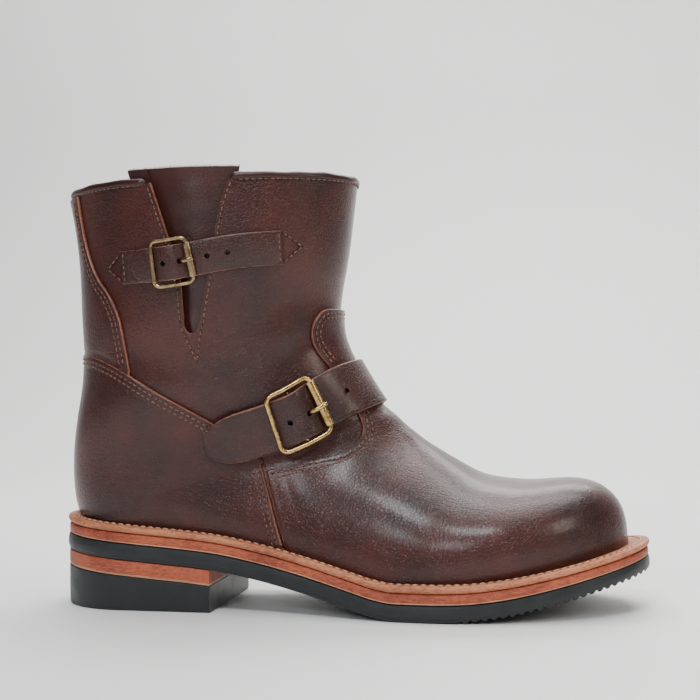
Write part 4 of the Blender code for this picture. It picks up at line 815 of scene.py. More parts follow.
def build_upper():
    """The shell of the shaft and the foot with its inside, in rows from one slot edge round to the other."""
    low = SLOT_LOW - SLOT_ROUND
    bottom = low + SLOT_ROUND * np.sin(np.linspace(0, math.pi / 2, 16))
    shaft, heel, foot = np.linspace(0, low, 56), np.linspace(SLOT_LOW, SEAT, 56), np.linspace(SEAT, TIP, 62)
    rows = np.concatenate([shaft, bottom[1:], heel[1:], foot[1:]])
    seat_row = int(np.argmin(np.abs(rows - SEAT)))
    left, right = 46, 168
    a = np.linspace(0, 1, left)
    b = np.linspace(0, 1, right)
    back, ahead = slot_span(rows)
    t = np.concatenate([-1 + (back[:, None] + 1) * a, ahead[:, None] + (1 - ahead[:, None]) * b], axis=1)
    s = np.repeat(rows[:, None], t.shape[1], axis=1)
    outer = face(s, t)
    inner = face(s, t, -WALL)
    count, wide = outer.shape[0] * outer.shape[1], t.shape[1]
    points = np.concatenate([outer.reshape(-1, 3), inner.reshape(-1, 3)])
    points[:, 2] = np.maximum(points[:, 2], welt_top(points[:, 0]) + STAND)
    faces, which = [], []
    for i in range(len(rows) - 1):
        slot_row = rows[i + 1] <= SLOT_LOW + 1e-6
        for j in range(wide - 1):
            if j == left - 1:
                continue
            p, q = i * wide + j, i * wide + j + 1
            faces.append((p, q, q + wide, p + wide))
            faces.append((count + p + wide, count + q + wide, count + q, count + p))
            which += [0, 1]
        if slot_row:
            for j in (left - 1, left):
                p = i * wide + j
                faces.append((p, p + wide, count + p + wide, count + p))
                which.append(2)
    for j in list(range(left - 1)) + list(range(left, wide - 1)):
        faces.append((j, j + 1, count + j + 1, count + j))
        which.append(2)
    for i in range(seat_row, len(rows) - 1):
        for j in (0, wide - 1):
            p = i * wide + j
            faces.append((p, p + wide, count + p + wide, count + p))
            which.append(2)
    return add_piece(
        "upper_shell", points, faces, [hide, lining, raw_edge], "upper", which, sharp=50
    )


# Panels over the upper
ACROSS_SCALE, ROW_SCALE = 0.170, 0.016
BETWEEN_ROWS = 0.0033
RINGS = [0.00035, 0.0010, FIRST_ROW, BETWEEN_ROWS, SECOND_ROW, 0.0058]
OUTLINE_STEP = 0.0011
EDGE_ROUND = 0.0008  # how far in from its edge a panel rounds off
EDGE_FULL = 0.62  # share of the thickness that stands at the very edge
TROUGH = 0.00028  # depth under a stitched row
TROUGH_HALF = 0.0007
RIDGE_BETWEEN = 0.00012
RIM_REACH = 0.0009


def opened(s):
    return 0.05 * np.maximum(np.asarray(s, float) - SEAT, 0.0)


def to_chart(s, t, back):
    if not back:
        return t * ACROSS_SCALE, s * ROW_SCALE
    return np.sign(t) * (1 - np.abs(t) + opened(s)) * ACROSS_SCALE, s * ROW_SCALE


def from_chart(u, v, back):
    s = v / ROW_SCALE
    if not back:
        return s, u / ACROSS_SCALE
    u = u / ACROSS_SCALE
    side = np.where(u < 0, -1.0, 1.0)
    return s, side * np.clip(1 - np.maximum(np.abs(u) - opened(s), 0), 0, 1)


def inside(points, outline):
    x, y = points[:, 0], points[:, 1]
    hit = np.zeros(len(points), bool)
    for (ax, ay), (bx, by) in zip(outline, np.roll(outline, -1, axis=0)):
        crosses = (ay > y) != (by > y)
        with np.errstate(divide="ignore", invalid="ignore"):
            where = (bx - ax) * (y - ay) / (by - ay) + ax
        hit ^= crosses & (x < where)
    return hit


def distance_to(points, outline):
    """Distance on the chart from each point to the outline."""
    best = np.full(len(points), 1e9)
    for a, b in zip(outline, np.roll(outline, -1, axis=0)):
        along = b - a
        k = np.clip(((points - a) @ along) / max(along @ along, 1e-18), 0, 1)
        best = np.minimum(best, np.linalg.norm(points - (a + k[:, None] * along), axis=1))
    return best


def resampled(points, step):
    """Evenly spread points about a step apart along a line."""
    points = np.array(points, float)
    length = distances_along(points)
    return read_along(np.linspace(0, length[-1], max(2, int(round(length[-1] / step)) + 1)), length, points)


def panel(name, corners, thickness, looks, node, back=False, step=0.0030):
    """A leather panel with a rounded cut edge and a soft trough under each stitched row."""
    chart = np.array([to_chart(s, t, back) for s, t in corners])
    outline = resampled(np.concatenate([chart, chart[:1]]), OUTLINE_STEP)[:-1]
    forward = unit(np.roll(outline, -1, axis=0) - np.roll(outline, 1, axis=0))
    sideways = np.stack([-forward[:, 1], forward[:, 0]], axis=1)
    if not inside(outline[40:41] + sideways[40:41] * 0.0004, outline)[0]:
        sideways = -sideways
    rings = []
    for ring in RINGS:
        moved = outline + sideways * ring
        moved = moved[:: 1 if ring < 0.0012 else 2]
        keep = inside(moved, outline)
        keep &= distance_to(moved, outline) > ring * 0.93
        rings.append(moved[keep])
    low, high = outline.min(0), outline.max(0)
    u, v = np.meshgrid(np.arange(low[0], high[0], step), np.arange(low[1], high[1], step), indexing="ij")
    grid = np.stack([u.ravel(), v.ravel()], axis=1)
    if not back:
        grid[:, 0] = np.where(np.abs(grid[:, 0]) < 1e-9, 1e-9, grid[:, 0])
    grid = grid[inside(grid, outline)]
    grid = grid[distance_to(grid, outline) > RINGS[-1] + step * 0.5]
    free = np.concatenate([*rings, grid])
    corners = [Vector(p) for p in np.concatenate([outline, free])]
    made = geometry.delaunay_2d_cdt(corners, [], [list(range(len(outline)))], 1, 1e-7)
    flat = np.array([tuple(p) for p in made[0]])
    faces = [tuple(f) for f in made[2]]
    away = distance_to(flat, outline)
    s, t = from_chart(flat[:, 0], flat[:, 1], back)
    near = np.clip(away / EDGE_ROUND, 0, 1)
    height = LIFT + thickness * (EDGE_FULL + (1 - EDGE_FULL) * np.sqrt(np.clip(1 - (1 - near) ** 2, 0, 1)))
    ends = np.clip((np.abs(t) - 0.90) / 0.05, 0, 1) * (s > SEAT)
    for row in (FIRST_ROW, SECOND_ROW):
        height -= TROUGH * np.exp(-(((away - row) / TROUGH_HALF) ** 2)) * (1 - ends)
    height += RIDGE_BETWEEN * np.exp(-(((away - BETWEEN_ROWS) / TROUGH_HALF) ** 2)) * (1 - ends)
    top = face(s, t, height)
    bottom = face(s, t, np.full(len(flat), LIFT * 0.2))
    points = np.concatenate([bottom, top])
    points[:, 2] = np.maximum(points[:, 2], welt_top(points[:, 0]) - 0.0003)
    n = len(flat)
    solid = [tuple(k + n for k in f) for f in faces] + [tuple(reversed(f)) for f in faces]
    which = [0] * (2 * len(faces))
    edges = dict.fromkeys(pair for f in faces for pair in zip(f, f[1:] + f[:1]))
    for a, b in edges:
        if (b, a) not in edges:
            solid.append((b, a, a + n, b + n))
            which.append(1)
    rim = np.concatenate([np.ones(n), np.clip(1 - away / RIM_REACH, 0, 1) * (1 - ends)])
    return add_piece(name, points, solid, looks, node, which, rim, sharp=0)


def vamp_rear():
    tongue = located(curve_through(TONGUE, 26))
    lobe = located(curve_through(LOBE, 46))
    return [(tongue[0][0], 0.0)] + tongue[1:], lobe


def front_seam(shift):
    return located([(x + shift, h) for x, h in curve_through(COUNTER_FRONT, 20)[:-1]])


def vamp_outline():
    tongue, lobe = vamp_rear()
    apart = SEAM / UPPER_LENGTH + 0.003
    seat = share_row(COUNTER_FRONT[-1][0] + apart)
    side = tongue + lobe + front_seam(apart) + [(seat, 1.0)]
    side += [(s, 1.0) for s in np.arange(seat + 0.1, TIP, 0.1)]
    outer = [(s, -t) for s, t in side]
    across = [(float(TIP), t) for t in np.linspace(-1, 1, 61)[1:-1]]
    return outer + across + [(s, t) for s, t in reversed(side)][:-1]


def counter_side():
    top = located(curve_through(COUNTER_TOP, 60))
    return [(top[0][0], 1.0)] + top[1:], front_seam(0.0)


def counter_outline():
    top, front = counter_side()
    seat = share_row(COUNTER_FRONT[-1][0])
    side = top + front + [(seat, 1.0)]
    side += [(s, 1.0) for s in np.arange(seat - 0.1, SEAT, -0.1)]
    outer = [(s, -t) for s, t in side]
    return outer + [(SEAT - 0.02, 1.0)] + [(s, -t) for s, t in reversed(outer)][:-1]


def stay_side():
    return located(curve_through(STAY_SIDE, 40))


def stay_outline():
    side = stay_side()
    low = locate(*side_point(COUNTER_TOP[0][0], COUNTER_TOP[0][1] - 0.03))
    outer = [(max(side[0][0] - 0.02, 0.02), -1.0)] + [(s, -t) for s, t in side]
    outer += [(s, -t) for s, t in located([(0.130, 0.61), (0.070, 0.68)])] + [(low[0], -1.0)]
    return outer + [(s, -t) for s, t in reversed(outer[1:-1])]


# Stitches
def sewn(path, rise_by=0.0, pitch=STITCH_PITCH, thread=THREAD, fill=0.80):
    """Stitches along a run of points with normals: each dips into the leather at its ends."""
    points, normals = path
    length = distances_along(points)
    count = max(1, int(length[-1] / pitch))
    starts = (np.arange(count) + 0.5) * length[-1] / count
    k = np.linspace(-0.5, 0.5, STITCH_RINGS)
    at = starts[:, None] + k[None, :] * pitch * fill
    centre_line = read_along(at, length, points)
    normal = unit(read_along(at, length, normals))
    across = np.cross(normal, unit(np.gradient(centre_line, axis=1)))
    arch = np.sqrt(np.clip(1 - (2 * k) ** 4, 0, 1))
    size = thread / 2 * (0.42 + 0.58 * arch)
    centre_line = centre_line + normal * (rise_by + thread * 0.30 * (arch - 0.75))[None, :, None]
    angle = (np.arange(STITCH_SIDES) * math.tau / STITCH_SIDES)[None, None, :, None]
    ring = centre_line[:, :, None, :] + size[None, :, None, None] * (
        np.cos(angle) * across[:, :, None, :] + 0.8 * np.sin(angle) * normal[:, :, None, :]
    )
    return ring.reshape(-1, 3), count


def capped_faces(rings, sides, total):
    """Faces of that many short closed rods, each of so many rings of points."""
    n = rings * sides
    base = grid_faces(rings, sides, closed=True) + [tuple(range(sides))[::-1], tuple(range(n - sides, n))]
    return [tuple(k + n * i for k in f) for i in range(total) for f in base]


def row_path(course, side, height, start=0.0, stop=None):
    """Points and normals of a row beside a course."""
    u = np.arange(start, (course.length if stop is None else stop), 0.0012)
    points = course.at(u, side, height)
    above = course.at(u, side, height + 0.001)
    return points, above - points


def stitch_ends(points, pitch):
    """Lengths of the way to each point, and those of them at which two stitches meet."""
    length = distances_along(points)
    count = max(1, int(length[-1] / pitch))
    return length, np.arange(count + 1) * length[-1] / count


def needle_holes(run, pitch):
    """Small dark discs that paint the shade in the holes where the thread goes down between two stitches."""
    points, normals = run
    length, at = stitch_ends(points, pitch)
    normal = unit(read_along(at, length, normals))
    side = unit(np.cross(normal, np.array([0.31, 0.22, 0.93])))
    other = np.cross(normal, side)
    angle = (np.arange(STITCH_SIDES) * math.tau / STITCH_SIDES)[None, :, None]
    turned = np.cos(angle) * side[:, None, :] + np.sin(angle) * other[:, None, :]
    ring = read_along(at, length, points)[:, None, :] + NEEDLE_HOLE * turned
    low = ring - normal[:, None, :] * 0.0004
    return np.concatenate([low, ring + normal[:, None, :] * 0.00010], axis=1).reshape(-1, 3), len(at)


def add_stitches(name, runs, look, slot, holes=True, **kwargs):
    clouds, total, pits, pit_total = [], 0, [], 0
    for run in runs:
        cloud, count = sewn(run, **kwargs)
        clouds.append(cloud)
        total += count
        pit, count = needle_holes(run, kwargs.get("pitch", STITCH_PITCH))
        pits.append(pit)
        pit_total += count
    # Dark discs at the stitch ends paint the shade in the needle holes
    if holes:
        dark = capped_faces(2, STITCH_SIDES, pit_total)
        add_piece(name + "_holes", np.concatenate(pits), dark, [hole_shade_look], sharp=0, weld=False)
    faces = capped_faces(STITCH_RINGS, STITCH_SIDES, total)
    return add_piece(name, np.concatenate(clouds), faces, [look], sharp=0, weld=False)


def both_sides(marks):
    """A line on the outer side and its mirror on the inner side."""
    return [Course([(s, -t) for s, t in marks]), Course([(s, t) for s, t in marks])]


def seam_runs():
    """Two rows of stitches beside each edge of the counter, the vamp and the back stay."""
    on_counter = LIFT + COUNTER - 0.00005
    on_vamp = LIFT + PANEL - 0.00005
    on_stay = LIFT + PANEL - 0.0002
    top, front = counter_side()
    tongue, lobe = vamp_rear()
    runs = []
    # line, side of it on the outer face, height, start, how far the row stops short
    for marks, side, height, start, short in (
        (top, -1, on_counter, 0.0, 0.003),
        (front, -1, on_counter, 0.004, 0.0),
        (tongue, 1, on_vamp, 0.003, 0.0),
        (lobe, 1, on_vamp, 0.001, None),
        (stay_side(), -1, on_stay, 0.004, 0.004),
    ):
        for course, sign in zip(both_sides(marks), (side, -side)):
            for row in (FIRST_ROW, SECOND_ROW):
                stop = course.length - (row if short is None else short)
                runs.append(row_path(course, sign * row, height, start, stop))
    return runs


def slot_rows():
    """One row beside each edge of the slot. The two meet in a point below it."""
    runs = []
    rows = np.linspace(0.05, 3.75, 30)
    for k, aside in ((0, -0.0017), (1, 0.0017)):
        turn = slot_span(rows)[k]
        width = np.linalg.norm(skin(rows, turn + 0.01) - skin(rows, turn), axis=1) / 0.01
        marks = list(zip(rows, turn + aside / width)) + [(4.86, -0.511)]
        runs.append(row_path(Course(marks, smooth=False), 0.0, 0.00015, 0.001))
    return runs


def polygon_rows(course, corners, height):
    """A row of stitches along straight lines between (u, v) places of a course."""
    runs = []
    for (u0, v0), (u1, v1) in zip(corners, corners[1:]):
        k = np.linspace(0, 1, 12)
        u, v = u0 + (u1 - u0) * k, v0 + (v1 - v0) * k
        points = course.at(u, v, height)
        runs.append((points, course.at(u, v, height + 0.001) - points))
    return runs


# Straps and buckles
STRAP_FOLDED = 0.4  # share of the leather's folds that straps and metal follow


def strap_section():
    """Across and height of a strap's section from -0.5 to 0.5, with eased edges."""
    flat = np.linspace(-0.5, 0.5, 13)[1:-1]
    arc = np.linspace(-math.pi / 2, math.pi / 2, 7)
    right = [(0.5, math.sin(a) * 0.5, math.cos(a)) for a in arc]
    top = [(v, 0.5, 0.0) for v in flat[::-1]]
    left = [(-0.5, math.sin(a) * 0.5, math.cos(a)) for a in arc[::-1]]
    low = [(v, -0.5, 0.0) for v in flat]
    return right + top + left + low


SECTION = strap_section()


def dense_band(name, course, line, width, thickness, looks, node, crown=0.0):
    """A strap along a line of (u, h) places, with rounded edges."""
    line = np.array(line, float)
    run = unit(np.gradient(line, axis=0))
    out = np.stack([-run[:, 1], run[:, 0]], axis=1)
    v = np.array([p[0] for p in SECTION])
    h = np.array([p[1] for p in SECTION])
    edge_out = np.array([p[2] for p in SECTION])
    width = np.asarray(width, float)
    ease = thickness * 0.42
    across = v[None, :] * (width[:, None] - 2 * ease) + np.sign(v)[None, :] * edge_out[None, :] * ease
    lifted = h[None, :] * thickness + crown * (1 - (2 * v[None, :]) ** 2)
    u = line[:, :1] + out[:, :1] * lifted
    height = line[:, 1:] + out[:, 1:] * lifted
    points = course.at(u, across, height, STRAP_FOLDED)
    n = len(SECTION)
    faces = grid_faces(len(line), n, closed=True) + [
        tuple(range(n))[::-1], tuple(range((len(line) - 1) * n, len(line) * n)),
    ]
    edgy = (edge_out > 0.2) & (np.roll(edge_out, -1) > 0.2)
    which = [1 if edgy[j] else 0 for _ in range(len(line) - 1) for j in range(n)] + [1, 1]
    return add_piece(name, points.reshape(-1, 3), faces, looks, node, which, sharp=0)


def rod_path(points, closed):
    points = np.array(points, float)
    if closed:
        along = np.roll(points, -1, axis=0) - np.roll(points, 1, axis=0)
    else:
        along = np.gradient(points, axis=0)
    return points, unit(along)


def rod(
    name, points, radius, look, node=None, closed=False, sides=18, squash=None, up=(0.0, -1.0, 0.0)
):
    """A metal rod along points. squash gives the height of each section as a share of its width."""
    points, along = rod_path(points, closed)
    radius = np.broadcast_to(np.asarray(radius, float), (len(points),))
    squash = np.broadcast_to(np.asarray(1.0 if squash is None else squash, float), (len(points),))
    normal = unit(np.array(up, float)[None, :] - along * (along @ np.array(up, float))[:, None])
    across = np.cross(along, normal)
    angle = (np.arange(sides) * math.tau / sides)[None, :, None]
    ring = points[:, None, :] + radius[:, None, None] * (
        np.cos(angle) * across[:, None, :] + squash[:, None, None] * np.sin(angle) * normal[:, None, :]
    )
    count = len(points)
    faces = grid_faces(count, sides, closed=True)
    if closed:
        j = np.arange(sides)
        faces += np.stack(
            [(count - 1) * sides + j, (count - 1) * sides + (j + 1) % sides, (j + 1) % sides, j], axis=1
        ).tolist()
    else:
        faces += [tuple(range(sides))[::-1], tuple(range((count - 1) * sides, count * sides))]
    return add_piece(name, ring.reshape(-1, 3), faces, [look], node, sharp=50)


def crown(course, u, h, half):
    """How far the leather's bulge rises over a straight bar laid across it."""
    a, b = course.at(u, -half, h, STRAP_FOLDED), course.at(u, half, h, STRAP_FOLDED)
    out = course.at(u, 0.0, h + GAP, STRAP_FOLDED) - course.at(u, 0.0, h, STRAP_FOLDED)
    out /= np.linalg.norm(out)
    rises = []
    for k in np.linspace(-0.9, 0.9, 13):
        over = course.at(u, half * k, h, STRAP_FOLDED) - (a + b) / 2 - (b - a) * k / 2
        rises.append(float(over @ out))
    return max(0.0, *rises)


def bar_ends(course, u, h, half):
    """Ends of a straight bar that clears the leather's bulge."""
    h = h + crown(course, u, h, half)
    return course.at(u, -half, h, STRAP_FOLDED), course.at(u, half, h, STRAP_FOLDED)


def cut_through(piece, a, b, radius):
    """A round hole through a strap."""
    a, b = Vector(a), Vector(b)
    mesh = bpy.data.meshes.new("punch")
    work = bmesh.new()
    bmesh.ops.create_cone(
        work, cap_ends=True, segments=20, radius1=radius, radius2=radius, depth=(b - a).length
    )
    work.to_mesh(mesh)
    work.free()
    punch = new_object("punch", mesh)
    punch.matrix_world = Matrix.Translation((a + b) / 2) @ (b - a).to_track_quat("Z", "Y").to_matrix().to_4x4()
    step = piece.modifiers.new("punch", "BOOLEAN")
    step.operation, step.object, step.solver = "DIFFERENCE", punch, "EXACT"
    bpy.context.view_layer.update()
    graph = bpy.context.evaluated_depsgraph_get()
    holed = bpy.data.meshes.new_from_object(piece.evaluated_get(graph))
    piece.modifiers.remove(step)
    piece.data = holed
    bpy.data.objects.remove(punch, do_unlink=True)


def tail_widths(distances, width, point):
    """Widths of a strap at distances from its rounded tip."""
    k = np.clip(np.array(distances) / point, 0, 1)
    return width * np.sqrt(np.clip(1 - (1 - k) ** 2.2, 0.02, 1))


def buckled(prefix, course, middle, sizes, chape_from, strap_ends, base, under_tail, looks, hole_places):
    """Strap, chape, buckle, roller and prong of one fastening."""
    width, leather, long, high, rod_size, roller, prong, point = sizes
    metal = looks[2]
    half = long / 2
    bar = rod_size * 0.84
    chape_top = under_tail + CHAPE
    back_h = chape_top + GAP + leather + GAP + rod_size / 2
    ahead_h = base + leather + 2 * GAP + roller / 2
    mid_h = under_tail + CHAPE + 2 * GAP + bar / 2
    crest = mid_h + bar / 2 + 2 * GAP + leather / 2
    ahead_mid = base + leather / 2
    tail_mid = chape_top + GAP + leather / 2
    start, stop = strap_ends
    marks = np.array(
        [
            (start, tail_mid - 0.0010),
            (start + 0.006, tail_mid - 0.0002),
            (middle - half * 1.6, tail_mid),
            (middle - half, tail_mid),
            (middle - half * 0.55, (tail_mid + crest) / 2 + 0.0002),
            (middle - half * 0.16, crest),
            (middle + half * 0.16, crest),
            (middle + half * 0.58, (ahead_mid + crest) / 2),
            (middle + half, ahead_mid),
            (middle + half * 1.7, ahead_mid),
            (stop, ahead_mid),
        ]
    )
    height = Steady(marks[:, 0], marks[:, 1])
    tail = start + (1 - np.cos(np.linspace(0, math.pi / 2, 14))) * point
    u = np.concatenate([tail, np.arange(tail[-1] + 0.0010, stop, 0.0013), [stop]])
    line = np.stack([u, height(u)], axis=1)
    widths = tail_widths(u - start + 0.0002, width, point)
    strap = dense_band(
        prefix + "_strap_leather", course, line, widths, leather, looks[:2], prefix + "_strap", 0.0003
    )
    turn = bar / 2 + GAP + CHAPE / 2
    lay = under_tail + CHAPE / 2
    chape = [(chape_from + (middle - chape_from) * k, lay) for k in np.linspace(0, 0.9, 16)]
    chape.append((middle - 0.0015, mid_h - turn))
    chape += [
        (middle + turn * math.cos(a), mid_h + turn * math.sin(a)) for a in np.radians(np.linspace(-80, 0, 9))
    ]
    widths = [width * 0.98] * len(chape)
    dense_band(prefix + "_chape_leather", course, chape, widths, CHAPE, looks[:2], prefix + "_chape")
    half_u, half_v = half, high / 2
    corner = rod_size * 1.5
    flat = []
    # corner's side along and across, angle where its arc begins, where the next arc begins
    for cu, cv, first, far in (
        (1, 1, 0, (-(half_u - corner), half_v)),
        (-1, 1, 90, (-half_u, -(half_v - corner))),
        (-1, -1, 180, (half_u - corner, -half_v)),
        (1, -1, 270, (half_u, half_v - corner)),
    ):
        for a in np.radians(np.linspace(first, first + 90, 10)):
            flat.append(
                (cu * (half_u - corner) + corner * math.cos(a), cv * (half_v - corner) + corner * math.sin(a))
            )
        nearby = flat[-1]
        for k in np.linspace(0, 1, 8)[1:-1]:
            flat.append((nearby[0] + (far[0] - nearby[0]) * k, nearby[1] + (far[1] - nearby[1]) * k))

    def frame_height(u):
        k = u / half_u
        return back_h * (1 - k) / 2 + ahead_h * (1 + k) / 2

    points = []
    cache = {}
    for u_place, v_place in flat:
        key = round(u_place, 5)
        if key not in cache:
            cache[key] = bar_ends(course, middle + u_place, frame_height(u_place), half_v)
        a, b = cache[key]
        points.append(a + (b - a) * (v_place + half_v) / high)
    out = course.at(middle, 0.0, 0.003, 0) - course.at(middle, 0.0, 0.0, 0)
    out = tuple(out / np.linalg.norm(out))
    rod(
        prefix + "_buckle_frame", points, rod_size / 2, metal, prefix + "_buckle", closed=True,
        squash=0.92, up=out,
    )
    a, b = bar_ends(course, middle, frame_height(0.0), half_v)
    low_v = half_v - BAR_STEP
    inner = [course.at(middle, v, mid_h, STRAP_FOLDED) for v in np.linspace(-low_v, low_v, 14)]
    rod(prefix + "_buckle_bar", [a, *inner, b], bar / 2, metal, None, up=out)
    a, b = bar_ends(course, middle + half, ahead_h, half_v)
    inset = rod_size * 1.35 / high
    k = np.array([0.0, 0.004, 0.012, 0.03, 0.5, 0.97, 0.988, 0.996, 1.0])
    sizes_along = roller / 2 * np.array([0.86, 0.94, 0.985, 1.0, 1.0, 1.0, 0.985, 0.94, 0.86])
    span = [a + (b - a) * (inset + (1 - 2 * inset) * q) for q in k]
    rod(
        prefix + "_roller_tube", span, sizes_along * 1.38, metal, prefix + "_roller", up=out,
        sides=28, squash=0.76,
    )
    rise_here = crown(course, middle + half, ahead_h, half_v)
    over = ahead_h + rise_here + roller / 2 + GAP * 0.5 + prong / 2
    begin = (middle + half * 0.46, float(height(middle + half * 0.46)) - leather * 0.2)
    finish = (middle + half - roller * 0.35, over)
    beyond = (middle + half + roller * 0.85, over - roller * 0.22)
    way = [
        begin,
        (begin[0] + (finish[0] - begin[0]) * 0.25, begin[1] + (finish[1] - begin[1]) * 0.42),
        (begin[0] + (finish[0] - begin[0]) * 0.6, begin[1] + (finish[1] - begin[1]) * 0.82),
        finish,
        (middle + half + roller * 0.25, over + 0.00005),
        beyond,
    ]
    arc_u = Smooth(range(6), [p[0] for p in way])
    arc_h = Smooth(range(6), [p[1] for p in way])
    q = np.linspace(0, 5, 26)
    radii = prong / 2 * np.interp(q, [0, 1.5, 3.2, 4.7, 5], [1.15, 1.3, 1.45, 1.2, 0.6])
    pin = course.at(arc_u(q), 0.0, arc_h(q), STRAP_FOLDED)
    rod(prefix + "_prong_pin", pin, radii, metal, prefix + "_prong", up=out, squash=0.66)
    eye = prong * 0.42
    g = np.radians(np.linspace(-150, 150, 16))
    loop = course.at(
        middle + (bar / 2 + eye) * np.cos(g), 0.0, mid_h + (bar / 2 + eye) * np.sin(g), STRAP_FOLDED
    )
    rod(prefix + "_prong_eye", loop, eye, metal, None, up=(0.3, 0.2, 1.0))
    holes = [(middle + place, leather / 2 + 0.0012, HOLE / 2) for place in hole_places]
    for place, reach, radius in holes + [(middle + half * 0.47, leather, prong * 0.80)]:
        h = float(height(place))
        low, top = (course.at(place, 0.0, h + way, STRAP_FOLDED) for way in (-reach, reach))
        cut_through(strap, low, top, radius)


# The gusset between the edges of the slot
def ribbon(line, thickness):
    """Both faces of a folded sheet that runs along a line, as one closed loop."""
    line = np.array(line, float)
    run = unit(np.gradient(line, axis=0))
    out = np.stack([-run[:, 1], run[:, 0]], axis=1) * thickness / 2
    return np.concatenate([line + out, (line - out)[::-1]])


def build_gusset():
    """Leather folded between the slot's edges, level by level, with raw fibres on its top."""
    collar_z = float(skin(0.0, -0.6)[2])
    ahead_line = np.array([side_point(x, h) for x, h in SLOT_FRONT])
    back_line = np.array([side_point(x, h) for x, h in SLOT_BACK])
    foot = min(ahead_line[-1][1], back_line[-1][1]) - 0.008
    heights = np.concatenate(
        [foot + (collar_z - foot) * np.linspace(0.02, 0.93, 44), collar_z + GUSSET_STAND * np.linspace(-0.2, 1.0, 8)]
    )
    flush = -(WALL + CLEAR + GUSSET / 2)
    inside_binding = -(WALL / 2 + BINDING / 2 + LIFT + GUSSET / 2)
    loops = []
    for z in heights:
        first = flush + min(inside_binding - flush, 0.0) * smoothstep((z - collar_z + 0.052) / 0.050)
        second = first - GUSSET - GAP
        ahead = float(np.interp(z, ahead_line[::-1, 1], ahead_line[::-1, 0]))
        behind = float(np.interp(z, back_line[::-1, 1], back_line[::-1, 0]))
        wide = max(ahead - behind, 0.0)
        reach = 0.006 + 0.006 * smoothstep((z - foot) / (collar_z - foot))
        bulge = min(0.0019, 0.06 * wide) + 0.0003 * math.sin(z * 310) * min(1.0, wide / 0.02)
        radius = (first - second) / 2
        line = [(ahead + 0.006, first), (ahead + 0.001, first)]
        for k, share in ((0.15, 0.45), (0.30, 0.85), (0.45, 1.0), (0.60, 0.9), (0.75, 0.55), (0.88, 0.1)):
            line.append(
                (ahead - wide * k, first + bulge * share - (first - second) * 0.5 * smoothstep((k - 0.6) / 0.4))
            )
        line += [
            (behind + min(0.0012, wide * 0.1), (first + second) / 2 - 0.0002), (behind - 0.003, second),
            (behind - reach, second),
        ]
        for angle in np.linspace(20, 160, 7):
            a = math.radians(angle)
            line.append((behind - reach - radius * math.sin(a), second + radius * (1 - math.cos(a))))
        line += [(behind - reach, first), (behind - 0.0015, first)]
        loops.append([on_side(x, z, depth) for x, depth in ribbon(line, GUSSET)])
    loops = np.array(loops)
    rows, n = loops.shape[0], loops.shape[1]
    faces = grid_faces(rows, n, closed=True)
    half = n // 2
    which = [0] * len(faces)
    last = (rows - 1) * n
    for base in (0, last):
        for j in range(half - 1):
            faces.append((base + j, base + j + 1, base + n - 2 - j, base + n - 1 - j))
            which.append(1)
    top = loops[-1]
    looks = [hide_gusset, raw_edge]
    add_piece("gusset_leather", loops.reshape(-1, 3), faces, looks, "gusset", which, sharp=50)
    draw = np.random.default_rng(7)
    points, tufts = [], []
    middle_line = (top[:half] + top[::-1][:half]) / 2
    walk = resampled(middle_line[:14], 0.0006)
    for place in walk:
        for _ in range(7):
            root = place + draw.normal(0, [0.0002, 0.00045, 0.0001])
            tip = root + np.array(
                [draw.normal(0, 0.0006), draw.normal(-0.0002, 0.0006), draw.uniform(0.0004, 0.0016)]
            )
            side = np.array([0.00007, 0.00003, 0.0])
            deep = np.array([0.0, 0.00008, 0.0])
            k = len(points)
            points += [root - side, root + side, root + deep, tip]
            tufts += [(k, k + 1, k + 3), (k + 1, k + 2, k + 3), (k + 2, k, k + 3), (k, k + 2, k + 1)]
    add_piece("gusset_raw_fibres", points, tufts, [fuzz], sharp=0, weld=False)


def build_binding():
    """The rolled edge of the collar from one edge of the slot round to the other."""
    z = float(skin(0.0, -0.6)[2])
    ahead, behind = (
        locate(np.interp(z, *np.array([side_point(x, h)[::-1] for x, h in edge[::-1]]).T), z)[1]
        for edge in (SLOT_FRONT, SLOT_BACK)
    )
    t = np.concatenate([np.linspace(-ahead + 0.012, 1.0, 260), np.linspace(-1.0, -behind - 0.012, 60)[1:]])
    line = face(np.zeros(len(t)), t, -WALL / 2)
    line[:, 2] += BINDING / 2 - 0.0014
    q = np.linspace(0, 1, len(t))
    line[:, 2] += 0.00018 * np.sin(q * 61) + 0.00012 * np.sin(q * 143 + 1)
    ends = np.minimum(q, 1 - q) / 0.006
    radius = BINDING / 2 * (1.0 + 0.03 * np.sin(q * 97)) * np.sqrt(
        np.clip(1 - (1 - np.clip(ends, 0, 1)) ** 2, 0.05, 1)
    )
    rod(
        "collar_binding_roll", line, radius, hide_binding, "collar_binding", sides=20,
        up=(0, 0, 1), squash=1.05,
    )
    normal = skin_normal(np.zeros(len(t)), t)
    seam = face(np.full(len(t), 0.055), t, 0.0006)
    add_stitches(
        "binding_stitches", [(seam[3:-3], normal[3:-3])], dark_thread, "binding_leather", thread=0.0006
    )


# The sole
FEATHER_POINTS = 420


def feather_loop():
    share = (1 - np.cos(np.linspace(0, math.pi, FEATHER_POINTS))) / 2
    x = UPPER_BACK + share * UPPER_LENGTH
    out = np.stack([x, centre(x) - feather(share, False)], axis=1)
    back = np.stack([x, centre(x) + feather(share, True)], axis=1)[::-1][1:-1]
    return np.concatenate([out, back]), np.concatenate([share, share[::-1][1:-1]])


LOOP, LOOP_SHARE = feather_loop()


